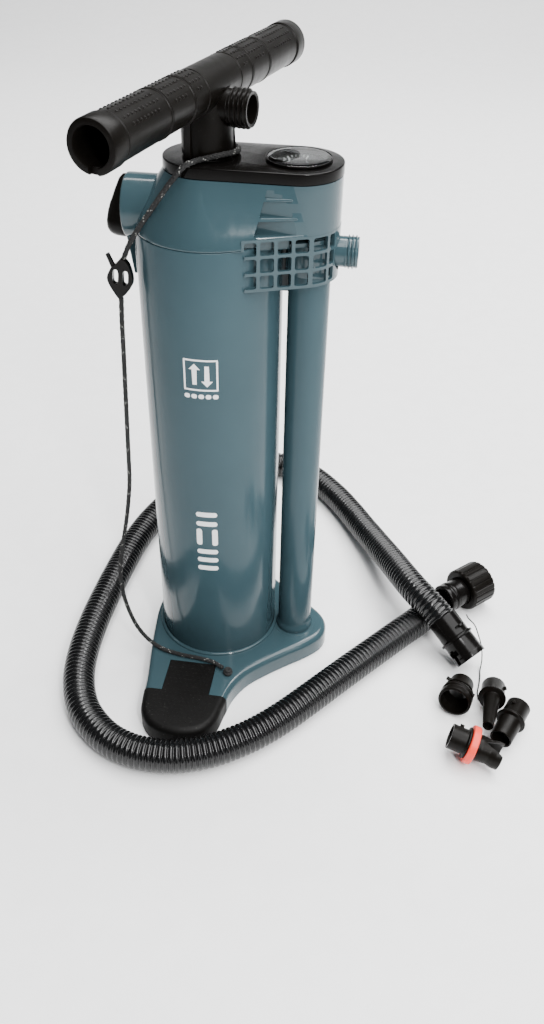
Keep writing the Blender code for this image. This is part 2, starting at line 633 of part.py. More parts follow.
def make_handle():
    along = Vector((math.cos(BAR_ANGLE), math.sin(BAR_ANGLE), 0))
    side = Vector((along.y, -along.x, 0))
    centre = Vector((0, 0, BAR_Z))
    half = [(BAR_R, 0), (BAR_R, 63.5), (BAR_R + 0.8, 64.3), (BAR_R + 0.8, 67.7), (BAR_R, 68.5),
            (BAR_R, 126), (BAR_R + 0.8, 128), (BAR_R + 0.8, BAR_HALF - 1.2), (BAR_R - 0.3, BAR_HALF)]
    outline = [(r, -z) for r, z in reversed(half)] + half[1:]
    handle = turned("handle_tee", [(0, -BAR_HALF)] + outline + [(0, BAR_HALF)], BLACK, 24, centre, along)
    neck = turned("neck", [(0, HUB_BOTTOM), (16.4, HUB_BOTTOM), (17.4, HUB_BOTTOM + 1), (17.4, BAR_Z),
                           (0, BAR_Z)], BLACK, 24)
    join(handle, neck)
    port = turned("port", [(0, 5), (11.0, 5)] + thread(11.0, 12.3, 16.5, 3.2, 4)
                  + [(11.0, 32.5), (0, 32.5)], BLACK, 20, (0, 0, SIDE_PORT_Z), side)
    join(handle, port)
    for way in (-1, 1):
        cut(handle, rod(BAR_BORE_R, centre + along * way * 26, centre + along * way * 150, 24))
    cut(handle, rod(ROD_R + GAP, (0, 0, 440), (0, 0, 472.4), 20))
    cut(handle, rod(ROD_BORE_R, (0, 0, 470), (0, 0, 482), 18))
    cut(handle, rod(8.8, Vector((0, 0, SIDE_PORT_Z)), Vector((0, 0, SIDE_PORT_Z)) + side * 40, 24))
    notch = centre - along * (BAR_HALF + 1)
    cut(handle, block_at(notch, along, (9.0, 7.0, 8.0), -BAR_R))
    centre_on_axis(handle)
    smooth(handle)


def block_at(middle, along, size, drop):
    """A box of the given size (along, across, up), centred on middle and lowered by drop."""
    box = block("box", [-s / 2 for s in size], [s / 2 for s in size], BLACK)
    turn = Matrix.Rotation(math.atan2(along.y, along.x), 4, "Z")
    box.matrix_world = Matrix.Translation((middle + Vector((0, 0, drop))) * MM) @ turn
    return box


def centre_on_axis(obj):
    """Give a piece whose mesh is turned or shifted the world's orientation and the Z axis as origin."""
    bpy.context.view_layer.update()
    obj.data.transform(obj.matrix_world)
    obj.matrix_world = Matrix.Identity(4)
    obj.data.update()


# ---------------------------------------------------------------- lanyard

LANYARD_UPPER = [(2.5, 20.0, 451.4), (10.5, 17.6, 451.4), (17.6, 11.0, 451.4), (20.4, 3.5, 451.9),
                 (18.7, -7.5, 453.2), (14.6, -14.2, 453.8), (8.6, -18.2, 453.2), (3.4, -19.9, 452.2),
                 (-0.9, -22.0, 451.6), (-3.6, -26.6, 451.8), (-6.4, -31.4, 451.7), (-9.6, -33.8, 450.0),
                 (-13.0, -33.8, 446.4), (-16.6, -33.2, 441.8), (-20.2, -32.6, 437.4),
                 (-23.6, -32.6, 432.9), (-27.2, -32.8, 427.9), (-30.8, -32.8, 423.0),
                 (-34.4, -32.6, 418.0), (-38.2, -32.0, 412.8), (-42.2, -31.4, 407.0),
                 (-46.4, -30.8, 401.0), (-50.4, -29.6, 394.4), (-53.4, -29.2, 388.2)]
HOOK_TOP = (-55.4, -30.5, 383.6)
HOOK_BOTTOM = (-59.8, -28.0, 355.5)
LANYARD_LOWER = [(-60.0, -28.0, 353.6), (-61.1, -28.0, 336.0), (-62.4, -28.0, 303.0),
                 (-63.9, -28.0, 268.0), (-65.4, -28.2, 230.5), (-67.0, -29.0, 191.5),
                 (-69.6, -30.0, 169.0), (-72.6, -31.0, 149.5), (-76.0, -32.0, 131.5),
                 (-79.2, -33.2, 114.5), (-81.4, -34.5, 98.5), (-81.6, -36.0, 84.0),
                 (-80.2, -38.0, 70.0), (-77.6, -40.0, 59.0), (-74.2, -42.0, 49.0),
                 (-69.8, -44.2, 39.5), (-63.6, -46.8, 31.0), (-55.6, -50.0, 25.0),
                 (-47.0, -53.6, 22.6), (-39.0, -57.0, 22.4), (-23.0, -60.4, 22.4),
                 (-6.0, -62.4, 22.6), (6.0, -65.6, 23.4), (12.0, -68.8, 23.6), (16.2, -71.2, 23.6)]


def make_lanyard():
    cord("lanyard_upper", LANYARD_UPPER, CORD_R, 6.0, 2, CORD_BLACK)
    cord("lanyard_lower", LANYARD_LOWER, CORD_R, 9.0, 2, CORD_BLACK)
    knot = turned("lanyard_knot", [(0, -7), (2.0, -7), (2.0, 1.2), (3.2, 1.4), (4.3, 3.4), (3.4, 5.6), (0, 6.4)],
                  CORD_BLACK, 12, (*LANYARD_HOLE, DECK_Z - 0.8))
    smooth(knot)
    top, bottom = Vector(HOOK_TOP), Vector(HOOK_BOTTOM)
    outline = [(0, 1.2), (5.5, -3), (8.4, -16), (1.2, -27.6), (-1.8, -28), (-9.6, -16), (-7.6, -7), (-4, -3)]
    hook = prism("lanyard_hook", outline[::-1], -2.6, 2.6, BLACK)
    for x in (-3.9, 3.3):
        cut(hook, prism("eye", [(x - 1.6, -17), (x + 1.6, -17), (x + 1.6, -8), (x - 1.6, -8)], -5, 5, BLACK))
    tail = prism("tail", [(-3.6, -6.8), (-6.9, -7.2), (-11.4, 2.4), (-9.4, 3.6)][::-1], -1.3, 1.3, BLACK)
    join(hook, tail)
    hook.matrix_world = Matrix.Translation((top + Vector((-1.0, 0, -0.5))) * MM) @ Matrix.Rotation(
        math.radians(6), 4, "Y") @ Matrix.Rotation(math.radians(90), 4, "X")
    centre_on_axis(hook)
    smooth(hook)


# ---------------------------------------------------------------- hose and its ends

HOSE_ROUTE = [(209.6, 48.2, 20.2), (201.6, 39.2, 17.6), (192.6, 28.8, 15.4), (183.0, 17.6, 14.4),
              (172.8, 6.1, 14.3), (146.2, -25.6, 14.3), (121.4, -55.5, 14.3), (98.3, -83.8, 14.3),
              (76.2, -110.1, 14.3), (53.4, -132.6, 14.3), (27.5, -151.0, 14.3), (4.0, -161.5, 14.3),
              (-19.0, -165.8, 14.3), (-45.3, -163.7, 14.3), (-71.1, -152.2, 14.3),
              (-95.0, -128.6, 14.3), (-109.6, -97.0, 14.3), (-115.9, -62.2, 14.3),
              (-117.4, -25.2, 14.3), (-116.2, 12.4, 14.3), (-113.4, 53.2, 14.3),
              (-109.0, 94.7, 14.3), (-100.5, 135.0, 14.3), (-84.0, 178.0, 14.3),
              (-58.0, 222.0, 14.3), (-20.0, 254.0, 14.3), (24.7, 261.0, 14.3), (60.0, 246.0, 14.3),
              (90.4, 215.3, 14.3), (112.4, 183.0, 15.6), (125.6, 158.5, 18.2), (138.8, 132.4, 22.6),
              (150.7, 106.0, 29.0), (162.1, 79.3, 36.2), (172.2, 55.1, 42.4), (181.4, 37.2, 45.4),
              (189.6, 25.6, 45.6), (197.3, 18.0, 43.8), (204.2, 12.1, 40.6), (208.6, 8.3, 38.0)]
CUFF_A = ((212.9, 51.6, 20.6), (252.0, 87.6, 21.2))
CUFF_B = ((208.9, 8.1, 37.8), (238.6, -18.9, 17.6))


def hose_ends():
    """Where each end of the hose meets its cuff, with the direction in which it arrives."""
    return [(start, Vector(end) - Vector(start)) for start, end in (CUFF_A, CUFF_B)]


def make_hose():
    cord("hose", HOSE_ROUTE, HOSE_R, 30.0, 3, HOSE_BLACK, hose_ends())
    start, end = Vector(CUFF_A[0]), Vector(CUFF_A[1])
    direction = (end - start).normalized()
    cuff = [(11.2, 0), (14.2, 0), (14.2, 30.6), (17.2, 30.6), (17.2, 34), (11.2, 34)]
    smooth(turned("hose_cuff_a", cuff, BLACK, 26, start, direction))
    nut = [(14.5, 23), (20.4, 23), (20.9, 25), (20.9, 48), (20.3, 50), (15.2, 50), (15.2, 36.5),
           (17.5, 36.5), (17.5, 30.3), (14.5, 30.3)]
    union = turned("union_nut", nut, BLACK, 26, start, direction)
    smooth(union)
    washer = [(11.5, 34.3), (16.9, 34.3), (16.9, 36.2), (11.5, 36.2)]
    smooth(turned("union_washer", washer, RUBBER, 26, start, direction))

    start, end = Vector(CUFF_B[0]), Vector(CUFF_B[1])
    direction = (end - start).normalized()
    length = (end - start).length
    cuff = [(11.8, 0), (14.2, 0), (14.2, 22), (16.4, 22), (16.4, 24), (14.6, 24), (14.6, length),
            (12.4, length), (12.4, 20), (11.8, 18)]
    socket = turned("bayonet_cuff", cuff, BLACK, 24, start, direction)
    across = direction.cross(Vector((0, 0, 1))).normalized()
    for way in (-1, 1):
        mouth = end + direction * 5
        cut(socket, slot_box(mouth - direction * 12, direction, across * way, (16, 12, 5)))
        cut(socket, slot_box(mouth - direction * 16, direction, across * way, (5, 12, 12)))
    ear = start + direction * 23 + Vector((0, 0, 17.0))
    tab = turned("tab", [(0, -1), (4.6, -1), (4.6, 1), (0, 1)], BLACK, 16, ear, direction)
    cut(tab, rod(1.5, ear - direction * 4, ear + direction * 4, 10))
    join(socket, tab)
    smooth(socket)


def slot_box(middle, direction, outward, size):
    """A cutter with its sides along direction, outward and across them."""
    third = direction.cross(outward).normalized()
    turn = Matrix((direction, outward, third)).transposed().to_4x4()
    box = block("slot", (-size[0] / 2, 6, -size[2] / 2), (size[0] / 2, 6 + size[1], size[2] / 2), BLACK)
    box.matrix_world = Matrix.Translation(Vector(middle) * MM) @ turn
    return box


# ---------------------------------------------------------------- adapters

ADAPTER_SCALE = 0.85           # real size of the adapters over the size their profiles are drawn at


def scaled(profile):
    return [(r * ADAPTER_SCALE, z * ADAPTER_SCALE) for r, z in profile]


def lug(adapter, origin, direction, offset, angle, radius, reach, pin_radius=1.8):
    """A small round pin standing out of an adapter's side."""
    axis = Vector(direction).normalized()
    side = axis.cross(Vector((0, 0, 1))).normalized()
    up = side.cross(axis)
    out = side * math.cos(angle) + up * math.sin(angle)
    foot = Vector(origin) + axis * offset + out * (radius - 1.5)
    join(adapter, rod(pin_radius, foot, foot + out * (reach + 1.5), 10, BLACK))


BAYONET_AT = ((230.4, -45.2, 11.4), (-0.28, -0.94, 0.18))
CONE_AT = ((258.6, -44.5, 10.8), (-0.165, -0.95, 0.267))
PLAIN_AT = ((279.0, -66.0, 13.1), (-0.42, -0.9, 0.0))
BOAT_AT = ((217.3, -113.9, 21.2), (0.96, -0.191, -0.203))
STRING_ROUTE = [(230.6, 8.0, 45.6), (232.6, 4.6, 44.4), (238.6, 0.4, 41.0), (243.6, -2.6, 31.0),
                (248.2, -4.0, 18.0), (250.0, -9.6, 7.4), (248.8, -18.6, 1.6), (248.4, -27.0, 1.1),
                (247.2, -36.0, 1.1), (245.6, -44.6, 1.1), (246.0, -53.0, 1.1)]


def make_bayonet_adapter():
    at = dict(zip(("origin", "direction"), BAYONET_AT))
    shape = [(10.4, 0), (12.4, 0), (12.4, 15), (15.6, 15), (15.6, 17), (13.4, 17), (13.4, 20), (16.0, 20),
             (16.8, 21.5), (16.8, 24), (15.2, 25), (15.2, 27), (17.0, 27.6), (17.0, 34), (14.6, 35),
             (14.2, 22), (10.4, 14)]
    piece = turned("adapter_bayonet", scaled(shape), BLACK, 20, **at)
    for angle in (0.35, 0.35 + math.pi):
        lug(piece, *BAYONET_AT, 6, angle, 10.5, 3.9)
    smooth(piece)


def make_cone_adapter():
    at = dict(zip(("origin", "direction"), CONE_AT))
    shape = [(10.4, 0), (12.3, 0), (12.3, 21), (14.2, 21.4), (14.2, 23.4), (8.6, 24.4), (5.4, 74), (4.0, 74),
             (6.8, 25), (10.4, 20)]
    piece = turned("adapter_cone", scaled(shape), BLACK, 18, **at)
    lug(piece, *CONE_AT, 7.6, 2.6, 10.4, 2.0)
    smooth(piece)


def make_plain_adapter():
    at = dict(zip(("origin", "direction"), PLAIN_AT))
    shape = [(10.4, 0), (12.3, 0), (12.3, 21), (15.0, 21.4), (15.0, 24), (11.6, 25), (11.1, 50), (9.4, 50),
             (9.8, 25), (10.4, 20)]
    piece = turned("adapter_plain", scaled(shape), BLACK, 18, **at)
    lug(piece, *PLAIN_AT, 7.6, 1.2, 10.4, 2.0)
    smooth(piece)


def make_boat_adapter():
    origin, direction = BOAT_AT
    axis = Vector(direction).normalized()
    shape = [(10.4, 0), (12.6, 0), (12.6, 16), (15.8, 16.4), (15.8, 18.4), (13.0, 18.6), (13.0, 28.5),
             (13.4, 31), (12.2, 40), (13.6, 46), (13.6, 52), (11.2, 53), (10.6, 40), (10.4, 20)]
    piece = turned("adapter_boat", scaled(shape), BLACK, 20, origin, direction)
    side = axis.cross(Vector((0, 0, 1))).normalized()
    up = side.cross(axis)
    tip = Vector(origin) + axis * 29
    wedge = []
    for reach, spread in ((0, 0.6), (20, 9.0)):
        for across in (-20, 20):
            for half in (-spread, spread):
                wedge.append(tip + axis * reach + up * across + side * half)
    cut(piece, hull("notch", wedge, BLACK))
    lug(piece, *BOAT_AT, 6.8, 2.4, 10.7, 2.0)
    smooth(piece)
    ring = [(13.3, 18.8), (19.2, 18.8), (19.2, 26.4), (13.3, 26.4)]
    smooth(turned("boat_adapter_ring", scaled(ring), RED, 24, origin, direction))


def make_string():
    cord("adapter_string", STRING_ROUTE, STRING_R, 3.4, 2, CORD_BLACK)


# ---------------------------------------------------------------- build

def build():
    clear_scene()
    make_base()
    make_base_plate()
    make_screws()
    make_foot_pad("front_foot_pad", 1)
    make_foot_pad("rear_foot_pad", -1)
    make_barrel()
    make_side_tube()
    make_lower_end()
    make_air_duct()
    make_head()
    make_outlet()
    make_top_cover()
    make_rod_guides()
    make_selector()
    make_gauge()
    make_piston()
    make_rod()
    make_handle()
    make_lanyard()
    make_hose()
    make_bayonet_adapter()
    make_cone_adapter()
    make_plain_adapter()
    make_boat_adapter()
    make_string()


build()
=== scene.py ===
import math
import random

import bmesh
import bpy
from mathutils import Matrix, Vector


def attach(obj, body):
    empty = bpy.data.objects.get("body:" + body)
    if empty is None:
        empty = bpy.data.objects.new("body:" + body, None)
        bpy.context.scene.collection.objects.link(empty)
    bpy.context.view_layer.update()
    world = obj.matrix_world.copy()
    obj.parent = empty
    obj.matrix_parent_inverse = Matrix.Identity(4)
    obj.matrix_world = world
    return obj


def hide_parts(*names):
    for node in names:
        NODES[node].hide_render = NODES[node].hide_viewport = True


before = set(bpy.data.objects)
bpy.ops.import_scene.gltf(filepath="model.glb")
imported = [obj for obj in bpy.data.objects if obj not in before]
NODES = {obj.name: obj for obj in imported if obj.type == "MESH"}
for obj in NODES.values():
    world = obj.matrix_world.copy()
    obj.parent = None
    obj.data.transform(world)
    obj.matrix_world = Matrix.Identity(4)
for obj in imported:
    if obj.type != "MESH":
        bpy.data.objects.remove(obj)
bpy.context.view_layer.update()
MM = 0.001
random.seed(7)

# Sizes shared with the CAD model, in millimetres
BARREL_R = 52.5
BORE_R = 49.5
TUBE_X = 71.9
TUBE_R = 15.2
DECK_Z = 20.0
BARREL_TOP = 400.7
HEAD_END_X = 61.7
HEAD_END_R = 30.5
SEAM_Z = 401.0
SKIRT_BOTTOM = 371.5
SKIRT_TOP = 408.0
HEAD_TOP = 441.0
COVER_TOP = 449.0
WALL = 2.5
PORT_Z = 388.0
BOSS_Z = 411.0
BOSS_R = 22.0
BOSS_END_X = -58.0
HUB_BOTTOM = 449.8
BAR_Z = 491.7
BAR_R = 14.5
BAR_BORE_R = 11.0
BAR_HALF = 143.5
BAR_ANGLE = math.radians(76.3)
SIDE_PORT_Z = 480.5
GAP = 0.3
UP = Vector((0, 0, 1))


# ---------------------------------------------------------------- materials

def nodes_of(name):
    made = bpy.data.materials.new(name)
    made.use_nodes = True
    tree = made.node_tree
    return made, tree, tree.nodes["Principled BSDF"]


def add(tree, kind, **values):
    node = tree.nodes.new(kind)
    for key, value in values.items():
        if key in node.inputs:
            node.inputs[key].default_value = value
        else:
            setattr(node, key, value)
    return node


def grain(tree, coords, scale, detail=3.0, rough=0.5, stretch=(1, 1, 1)):
    """A noise pattern over the piece, with scale in features per metre."""
    mapping = add(tree, "ShaderNodeMapping")
    mapping.inputs["Scale"].default_value = stretch
    noise = add(tree, "ShaderNodeTexNoise", Scale=scale, Detail=detail, Roughness=rough)
    tree.links.new(coords.outputs["Object"], mapping.inputs["Vector"])
    tree.links.new(mapping.outputs["Vector"], noise.inputs["Vector"])
    return noise


def ramp(tree, source, stops):
    node = add(tree, "ShaderNodeValToRGB")
    elements = node.color_ramp.elements
    for number, (place, value) in enumerate(stops):
        element = elements[number] if number < 2 else elements.new(place)
        element.position = place
        element.color = (value, value, value, 1) if isinstance(value, float) else (*value, 1)
    tree.links.new(source, node.inputs["Fac"])
    return node


def bumped(tree, shader, layers):
    """Stack bump layers, each (height socket, strength, distance in metres)."""
    last = None
    for height, strength, distance in layers:
        bump = add(tree, "ShaderNodeBump", Strength=strength, Distance=distance)
        tree.links.new(height, bump.inputs["Height"])
        if last:
            tree.links.new(last.outputs["Normal"], bump.inputs["Normal"])
        last = bump
    tree.links.new(last.outputs["Normal"], shader.inputs["Normal"])


def plastic(name, colour, rough=0.3, vary=0.12, wave=0.25, peel=0.12, coat=0.0, peel_scale=900.0, dust=0.0,
            shine=0.35):
    """Moulded plastic: slow colour drift, a faint waviness, fine mould texture and light handling marks."""
    made, tree, shader = nodes_of(name)
    coords = add(tree, "ShaderNodeTexCoord")
    drift = grain(tree, coords, 14.0, 4.0)
    dark = tuple(c * (1 - vary) for c in colour)
    light = tuple(min(1.0, c * (1 + vary)) for c in colour)
    tint = ramp(tree, drift.outputs["Fac"], [(0.30, dark), (0.70, light)])
    marks = grain(tree, coords, 70.0, 6.0, 0.7, (1, 1, 0.22))
    sheen = ramp(tree, marks.outputs["Fac"], [(0.35, max(0.02, rough - 0.07)), (0.75, rough + 0.10)])
    tree.links.new(sheen.outputs["Color"], shader.inputs["Roughness"])
    if dust:
        specks = grain(tree, coords, 420.0, 2.0, 0.6)
        mask = ramp(tree, specks.outputs["Fac"], [(0.66, 0.0), (0.78, dust)])
        mix = add(tree, "ShaderNodeMix", data_type="RGBA")
        factor, under, over = mix.inputs[0], mix.inputs[6], mix.inputs[7]
        over.default_value = (0.42, 0.41, 0.38, 1)
        tree.links.new(mask.outputs["Color"], factor)
        tree.links.new(tint.outputs["Color"], under)
        tree.links.new(mix.outputs[2], shader.inputs["Base Color"])
    else:
        tree.links.new(tint.outputs["Color"], shader.inputs["Base Color"])
    slow = grain(tree, coords, 26.0, 1.0)
    fine = grain(tree, coords, peel_scale, 2.0)
    bumped(tree, shader, [(slow.outputs["Fac"], wave, 0.0008), (fine.outputs["Fac"], peel, 0.0001)])
    shader.inputs["Specular IOR Level"].default_value = shine
    shader.inputs["Coat Weight"].default_value = coat
    shader.inputs["Coat Roughness"].default_value = 0.06
    return made


def metal(name, colour, rough, stretch):
    """Brushed or drawn metal, with fine lines along one direction."""
    made, tree, shader = nodes_of(name)
    coords = add(tree, "ShaderNodeTexCoord")
    lines = grain(tree, coords, 900.0, 3.0, 0.6, stretch)
    drift = grain(tree, coords, 30.0, 3.0)
    tint = ramp(tree, drift.outputs["Fac"], [(0.3, tuple(c * 0.86 for c in colour)), (0.7, colour)])
    sheen = ramp(tree, lines.outputs["Fac"], [(0.3, rough - 0.08), (0.7, rough + 0.12)])
    tree.links.new(tint.outputs["Color"], shader.inputs["Base Color"])
    tree.links.new(sheen.outputs["Color"], shader.inputs["Roughness"])
    bumped(tree, shader, [(lines.outputs["Fac"], 0.2, 0.00005)])
    shader.inputs["Metallic"].default_value = 1.0
    return made


def lens_material():
    made, tree, shader = nodes_of("clear_lens")
    coords = add(tree, "ShaderNodeTexCoord")
    smear = grain(tree, coords, 120.0, 4.0)
    sheen = ramp(tree, smear.outputs["Fac"], [(0.4, 0.01), (0.8, 0.05)])
    tree.links.new(sheen.outputs["Color"], shader.inputs["Roughness"])
    shader.inputs["Base Color"].default_value = (0.93, 0.96, 0.96, 1)
    shader.inputs["Transmission Weight"].default_value = 1.0
    shader.inputs["IOR"].default_value = 1.45
    bumped(tree, shader, [(smear.outputs["Fac"], 0.05, 0.0002)])
    return made


def floor_material():
    made, tree, shader = nodes_of("studio_floor")
    coords = add(tree, "ShaderNodeTexCoord")
    fibre = grain(tree, coords, 40.0, 4.0)
    tint = ramp(tree, fibre.outputs["Fac"], [(0.3, (0.90, 0.90, 0.90)), (0.7, (0.93, 0.93, 0.93))])
    tree.links.new(tint.outputs["Color"], shader.inputs["Base Color"])
    shader.inputs["Roughness"].default_value = 0.75
    shader.inputs["Specular IOR Level"].default_value = 0.2
    return made


GREY = plastic("slate_grey_plastic", (0.028, 0.054, 0.064), 0.14, 0.07, 0.10, 0.04, 0.12, 1400.0, 0.0, 0.30)
GREY_TUBE = plastic("slate_grey_extrusion", (0.032, 0.061, 0.073), 0.18, 0.06, 0.07, 0.04, 0.03, 1600.0, 0.0, 0.16)
# Darkened slate grey used as painted shade: it colours the wall seen through the head's lattice openings; cutters
# carry it too
SHADE = plastic("painted_shade_slate_grey", (0.010, 0.016, 0.018), 0.5, 0.1, 0.1, 0.1)
BLACK = plastic("black_plastic", (0.0032, 0.0026, 0.0020), 0.36, 0.25, 0.30, 0.30, 0.0, 1100.0, 0.012, 0.10)
BLACK_GLOSS = plastic("black_gloss_plastic", (0.0024, 0.0021, 0.0019), 0.20, 0.2, 0.2, 0.10, 0.0, 1300.0, 0.006, 0.14)
RUBBER = plastic("black_rubber", (0.0030, 0.0028, 0.0026), 0.55, 0.25, 0.25, 0.55, 0.0, 700.0, 0.06, 0.12)
HOSE = plastic("black_hose", (0.0028, 0.0029, 0.0031), 0.24, 0.25, 0.15, 0.12, 0.1, 1200.0, 0.04)
CORD = plastic("cord_black", (0.012, 0.012, 0.012), 0.80, 0.45, 0.6, 0.9, 0.0, 2600.0, 0.12)
# Pale grey painted on the braid as its highlights
BRAID_HIGHLIGHT_PAINT = plastic("cord_painted_highlight", (0.16, 0.16, 0.15), 0.75, 0.25, 0.5, 0.8, 0.0, 2600.0)
WHITE = plastic("white_print", (0.83, 0.84, 0.84), 0.38, 0.04, 0.05, 0.25, 0.0, 1800.0)
RED = plastic("red_seal", (0.80, 0.045, 0.022), 0.42, 0.10, 0.25, 0.35, 0.0, 900.0)
NATURAL = plastic("natural_plastic", (0.60, 0.60, 0.56), 0.42, 0.06, 0.2, 0.3)
DIAL = plastic("dial_face", (0.0060, 0.0060, 0.0058), 0.45, 0.2, 0.05, 0.2, 0.0, 1500.0)
STEEL = metal("screw_steel", (0.55, 0.55, 0.56), 0.30, (1, 1, 1))
ROD_METAL = metal("rod_aluminium", (0.62, 0.63, 0.64), 0.24, (1, 1, 0.03))
LENS = lens_material()


# ---------------------------------------------------------------- mesh helpers

def aim(obj, origin, direction):
    turn = Vector(direction).to_track_quat("Z", "Y").to_matrix().to_4x4()
    obj.matrix_world = Matrix.Translation(Vector(origin) * MM) @ turn
    return obj


def mesh_object(name, bm, material, recalc=True):
    if recalc:
        bmesh.ops.recalc_face_normals(bm, faces=bm.faces[:])
    mesh = bpy.data.meshes.new(name)
    bm.to_mesh(mesh)
    bm.free()
    obj = bpy.data.objects.new(name, mesh)
    bpy.context.scene.collection.objects.link(obj)
    mesh.materials.append(material)
    return obj


def bake_place(obj):
    """Move the object's placing into its vertices."""
    bpy.context.view_layer.update()
    obj.data.transform(obj.matrix_world)
    obj.matrix_world = Matrix.Identity(4)
    return obj


def turned(name, profile, material, steps=96, origin=(0, 0, 0), direction=(0, 0, 1), shape=None):
    """A closed (radius, height) profile turned about an axis. shape(angle, r, z) may change the radius."""
    bm = bmesh.new()
    rings = []
    for k in range(steps):
        angle = 2 * math.pi * k / steps
        ring = []
        for r, z in profile:
            radius = shape(angle, r, z) if shape and r > 0 else r
            ring.append((radius * math.cos(angle), radius * math.sin(angle), z))
        rings.append(ring)
    poles = {i: bm.verts.new((0, 0, z * MM)) for i, (r, z) in enumerate(profile) if r == 0}
    verts = [[poles.get(i) or bm.verts.new(Vector(p) * MM) for i, p in enumerate(ring)] for ring in rings]
    count = len(profile)
    for k in range(steps):
        here, there = verts[k], verts[(k + 1) % steps]
        for i in range(count):
            j = (i + 1) % count
            corners = [here[i], here[j], there[j], there[i]]
            corners = [v for n, v in enumerate(corners) if v not in corners[:n]]
            if len(corners) > 2:
                bm.faces.new(corners)
    return aim(mesh_object(name, bm, material), origin, direction)


def rounded(profile, radius=0.6, steps=3):
    """Round every corner of a (radius, height) profile that isn't on the axis."""
    result = []
    count = len(profile)
    for i, point in enumerate(profile):
        here = Vector(point)
        before, after = Vector(profile[i - 1]), Vector(profile[(i + 1) % count])
        back, on = before - here, after - here
        if here.x == 0 or min(back.length, on.length) < 0.05:
            result.append(tuple(here))
            continue
        reach = min(radius, back.length * 0.45, on.length * 0.45)
        start, end = here + back.normalized() * reach, here + on.normalized() * reach
        for k in range(steps + 1):
            t = k / steps
            result.append(tuple(start.lerp(here, t).lerp(here.lerp(end, t), t)))
    return result


def prism(name, outline, bottom, top, material):
    bm = bmesh.new()
    face = bm.faces.new([bm.verts.new((x * MM, y * MM, bottom * MM)) for x, y in outline])
    lifted = bmesh.ops.extrude_face_region(bm, geom=[face])["geom"]
    bmesh.ops.translate(bm, verts=[v for v in lifted if isinstance(v, bmesh.types.BMVert)],
                        vec=(0, 0, (top - bottom) * MM))
    return mesh_object(name, bm, material)


def stacked(name, rings, material):
    """Outlines with the same number of points, each (outline, height), joined into one closed body."""
    bm = bmesh.new()
    loops = [[bm.verts.new((x * MM, y * MM, z * MM)) for x, y in outline] for outline, z in rings]
    count = len(loops[0])
    for low, high in zip(loops, loops[1:]):
        for i in range(count):
            j = (i + 1) % count
            bm.faces.new((low[i], low[j], high[j], high[i]))
    bm.faces.new(loops[0][::-1])
    bm.faces.new(loops[-1])
    return mesh_object(name, bm, material)


def hull(name, points, material):
    bm = bmesh.new()
    for point in points:
        bm.verts.new(Vector(point) * MM)
    result = bmesh.ops.convex_hull(bm, input=bm.verts[:])
    spare = {g for g in result["geom_interior"] + result["geom_unused"]
             if isinstance(g, bmesh.types.BMVert)}
    bmesh.ops.delete(bm, geom=list(spare), context="VERTS")
    return mesh_object(name, bm, material)


def block(name, low, high, material=GREY):
    corners = [(low[0], low[1]), (high[0], low[1]), (high[0], high[1]), (low[0], high[1])]
    return prism(name, corners, low[2], high[2], material)


def rod(radius, start, end, steps=48, material=GREY):
    span = Vector(end) - Vector(start)
    return turned("rod", [(0, 0), (radius, 0), (radius, span.length), (0, span.length)],
                  material, steps, start, span)


def boolean(target, tool, operation):
    modifier = target.modifiers.new(operation.lower(), "BOOLEAN")
    modifier.operation = operation
    modifier.solver = "EXACT"
    modifier.object = tool
    bpy.context.view_layer.update()
    with bpy.context.temp_override(object=target, active_object=target):
        bpy.ops.object.modifier_apply(modifier=modifier.name)
    bpy.data.objects.remove(tool)
    weld(target)
    return target


def weld(obj, distance=0.003):
    bm = bmesh.new()
    bm.from_mesh(obj.data)
    bmesh.ops.dissolve_degenerate(bm, dist=distance * MM, edges=bm.edges[:])
    bmesh.ops.remove_doubles(bm, verts=bm.verts[:], dist=distance * MM)
    bm.to_mesh(obj.data)
    bm.free()


def cut(target, *tools):
    for tool in tools:
        boolean(target, tool, "DIFFERENCE")
    return target


def join(target, *tools):
    for tool in tools:
        boolean(target, tool, "UNION")
    return target


def merge(name, objs, material=None):
    """Put several meshes into one object, each staying a shell of its own."""
    bm = bmesh.new()
    slots = []
    for obj in objs:
        bpy.context.view_layer.update()
        part = obj.data.copy()
        part.transform(obj.matrix_world)
        offset = len(slots)
        slots += list(part.materials)
        start = len(bm.faces)
        bm.from_mesh(part)
        bm.faces.ensure_lookup_table()
        for face in bm.faces[start:]:
            face.material_index += offset
        bpy.data.meshes.remove(part)
        bpy.data.objects.remove(obj)
    mesh = bpy.data.meshes.new(name)
    bm.to_mesh(mesh)
    bm.free()
    made = bpy.data.objects.new(name, mesh)
    bpy.context.scene.collection.objects.link(made)
    for slot in slots:
        mesh.materials.append(slot)
    return made


def smooth(obj, angle=32):
    obj.data.shade_smooth()
    obj.data.set_sharp_from_angle(angle=math.radians(angle))
    return obj


def soften(obj, width=0.5, segments=2, angle=38):
    """Round the hard edges a little, as a mould does."""
    modifier = obj.modifiers.new("round", "BEVEL")
    modifier.width = width * MM
    modifier.segments = segments
    modifier.limit_method = "ANGLE"
    modifier.angle_limit = math.radians(angle)
    modifier.use_clamp_overlap = True
    modifier.harden_normals = True
    modifier.miter_outer = "MITER_ARC"
    return obj


def circle(cx, cy, radius, count, start=0.0, end=2 * math.pi):
    closed = abs(end - start - 2 * math.pi) < 1e-9
    steps = count if closed else count - 1
    return [(cx + radius * math.cos(start + (end - start) * i / steps),
             cy + radius * math.sin(start + (end - start) * i / steps)) for i in range(count)]


def egg(radius, end_radius, end_x=HEAD_END_X, count=40):
    """Outline of two circles, at x = 0 and x = end_x, wrapped by their two common tangents."""
    lean = math.asin((radius - end_radius) / end_x)
    turn = math.pi / 2 - lean
    big = circle(0, 0, radius, 2 * count, turn, 2 * math.pi - turn)
    small = circle(end_x, 0, end_radius, count, -turn, turn)
    return big + small


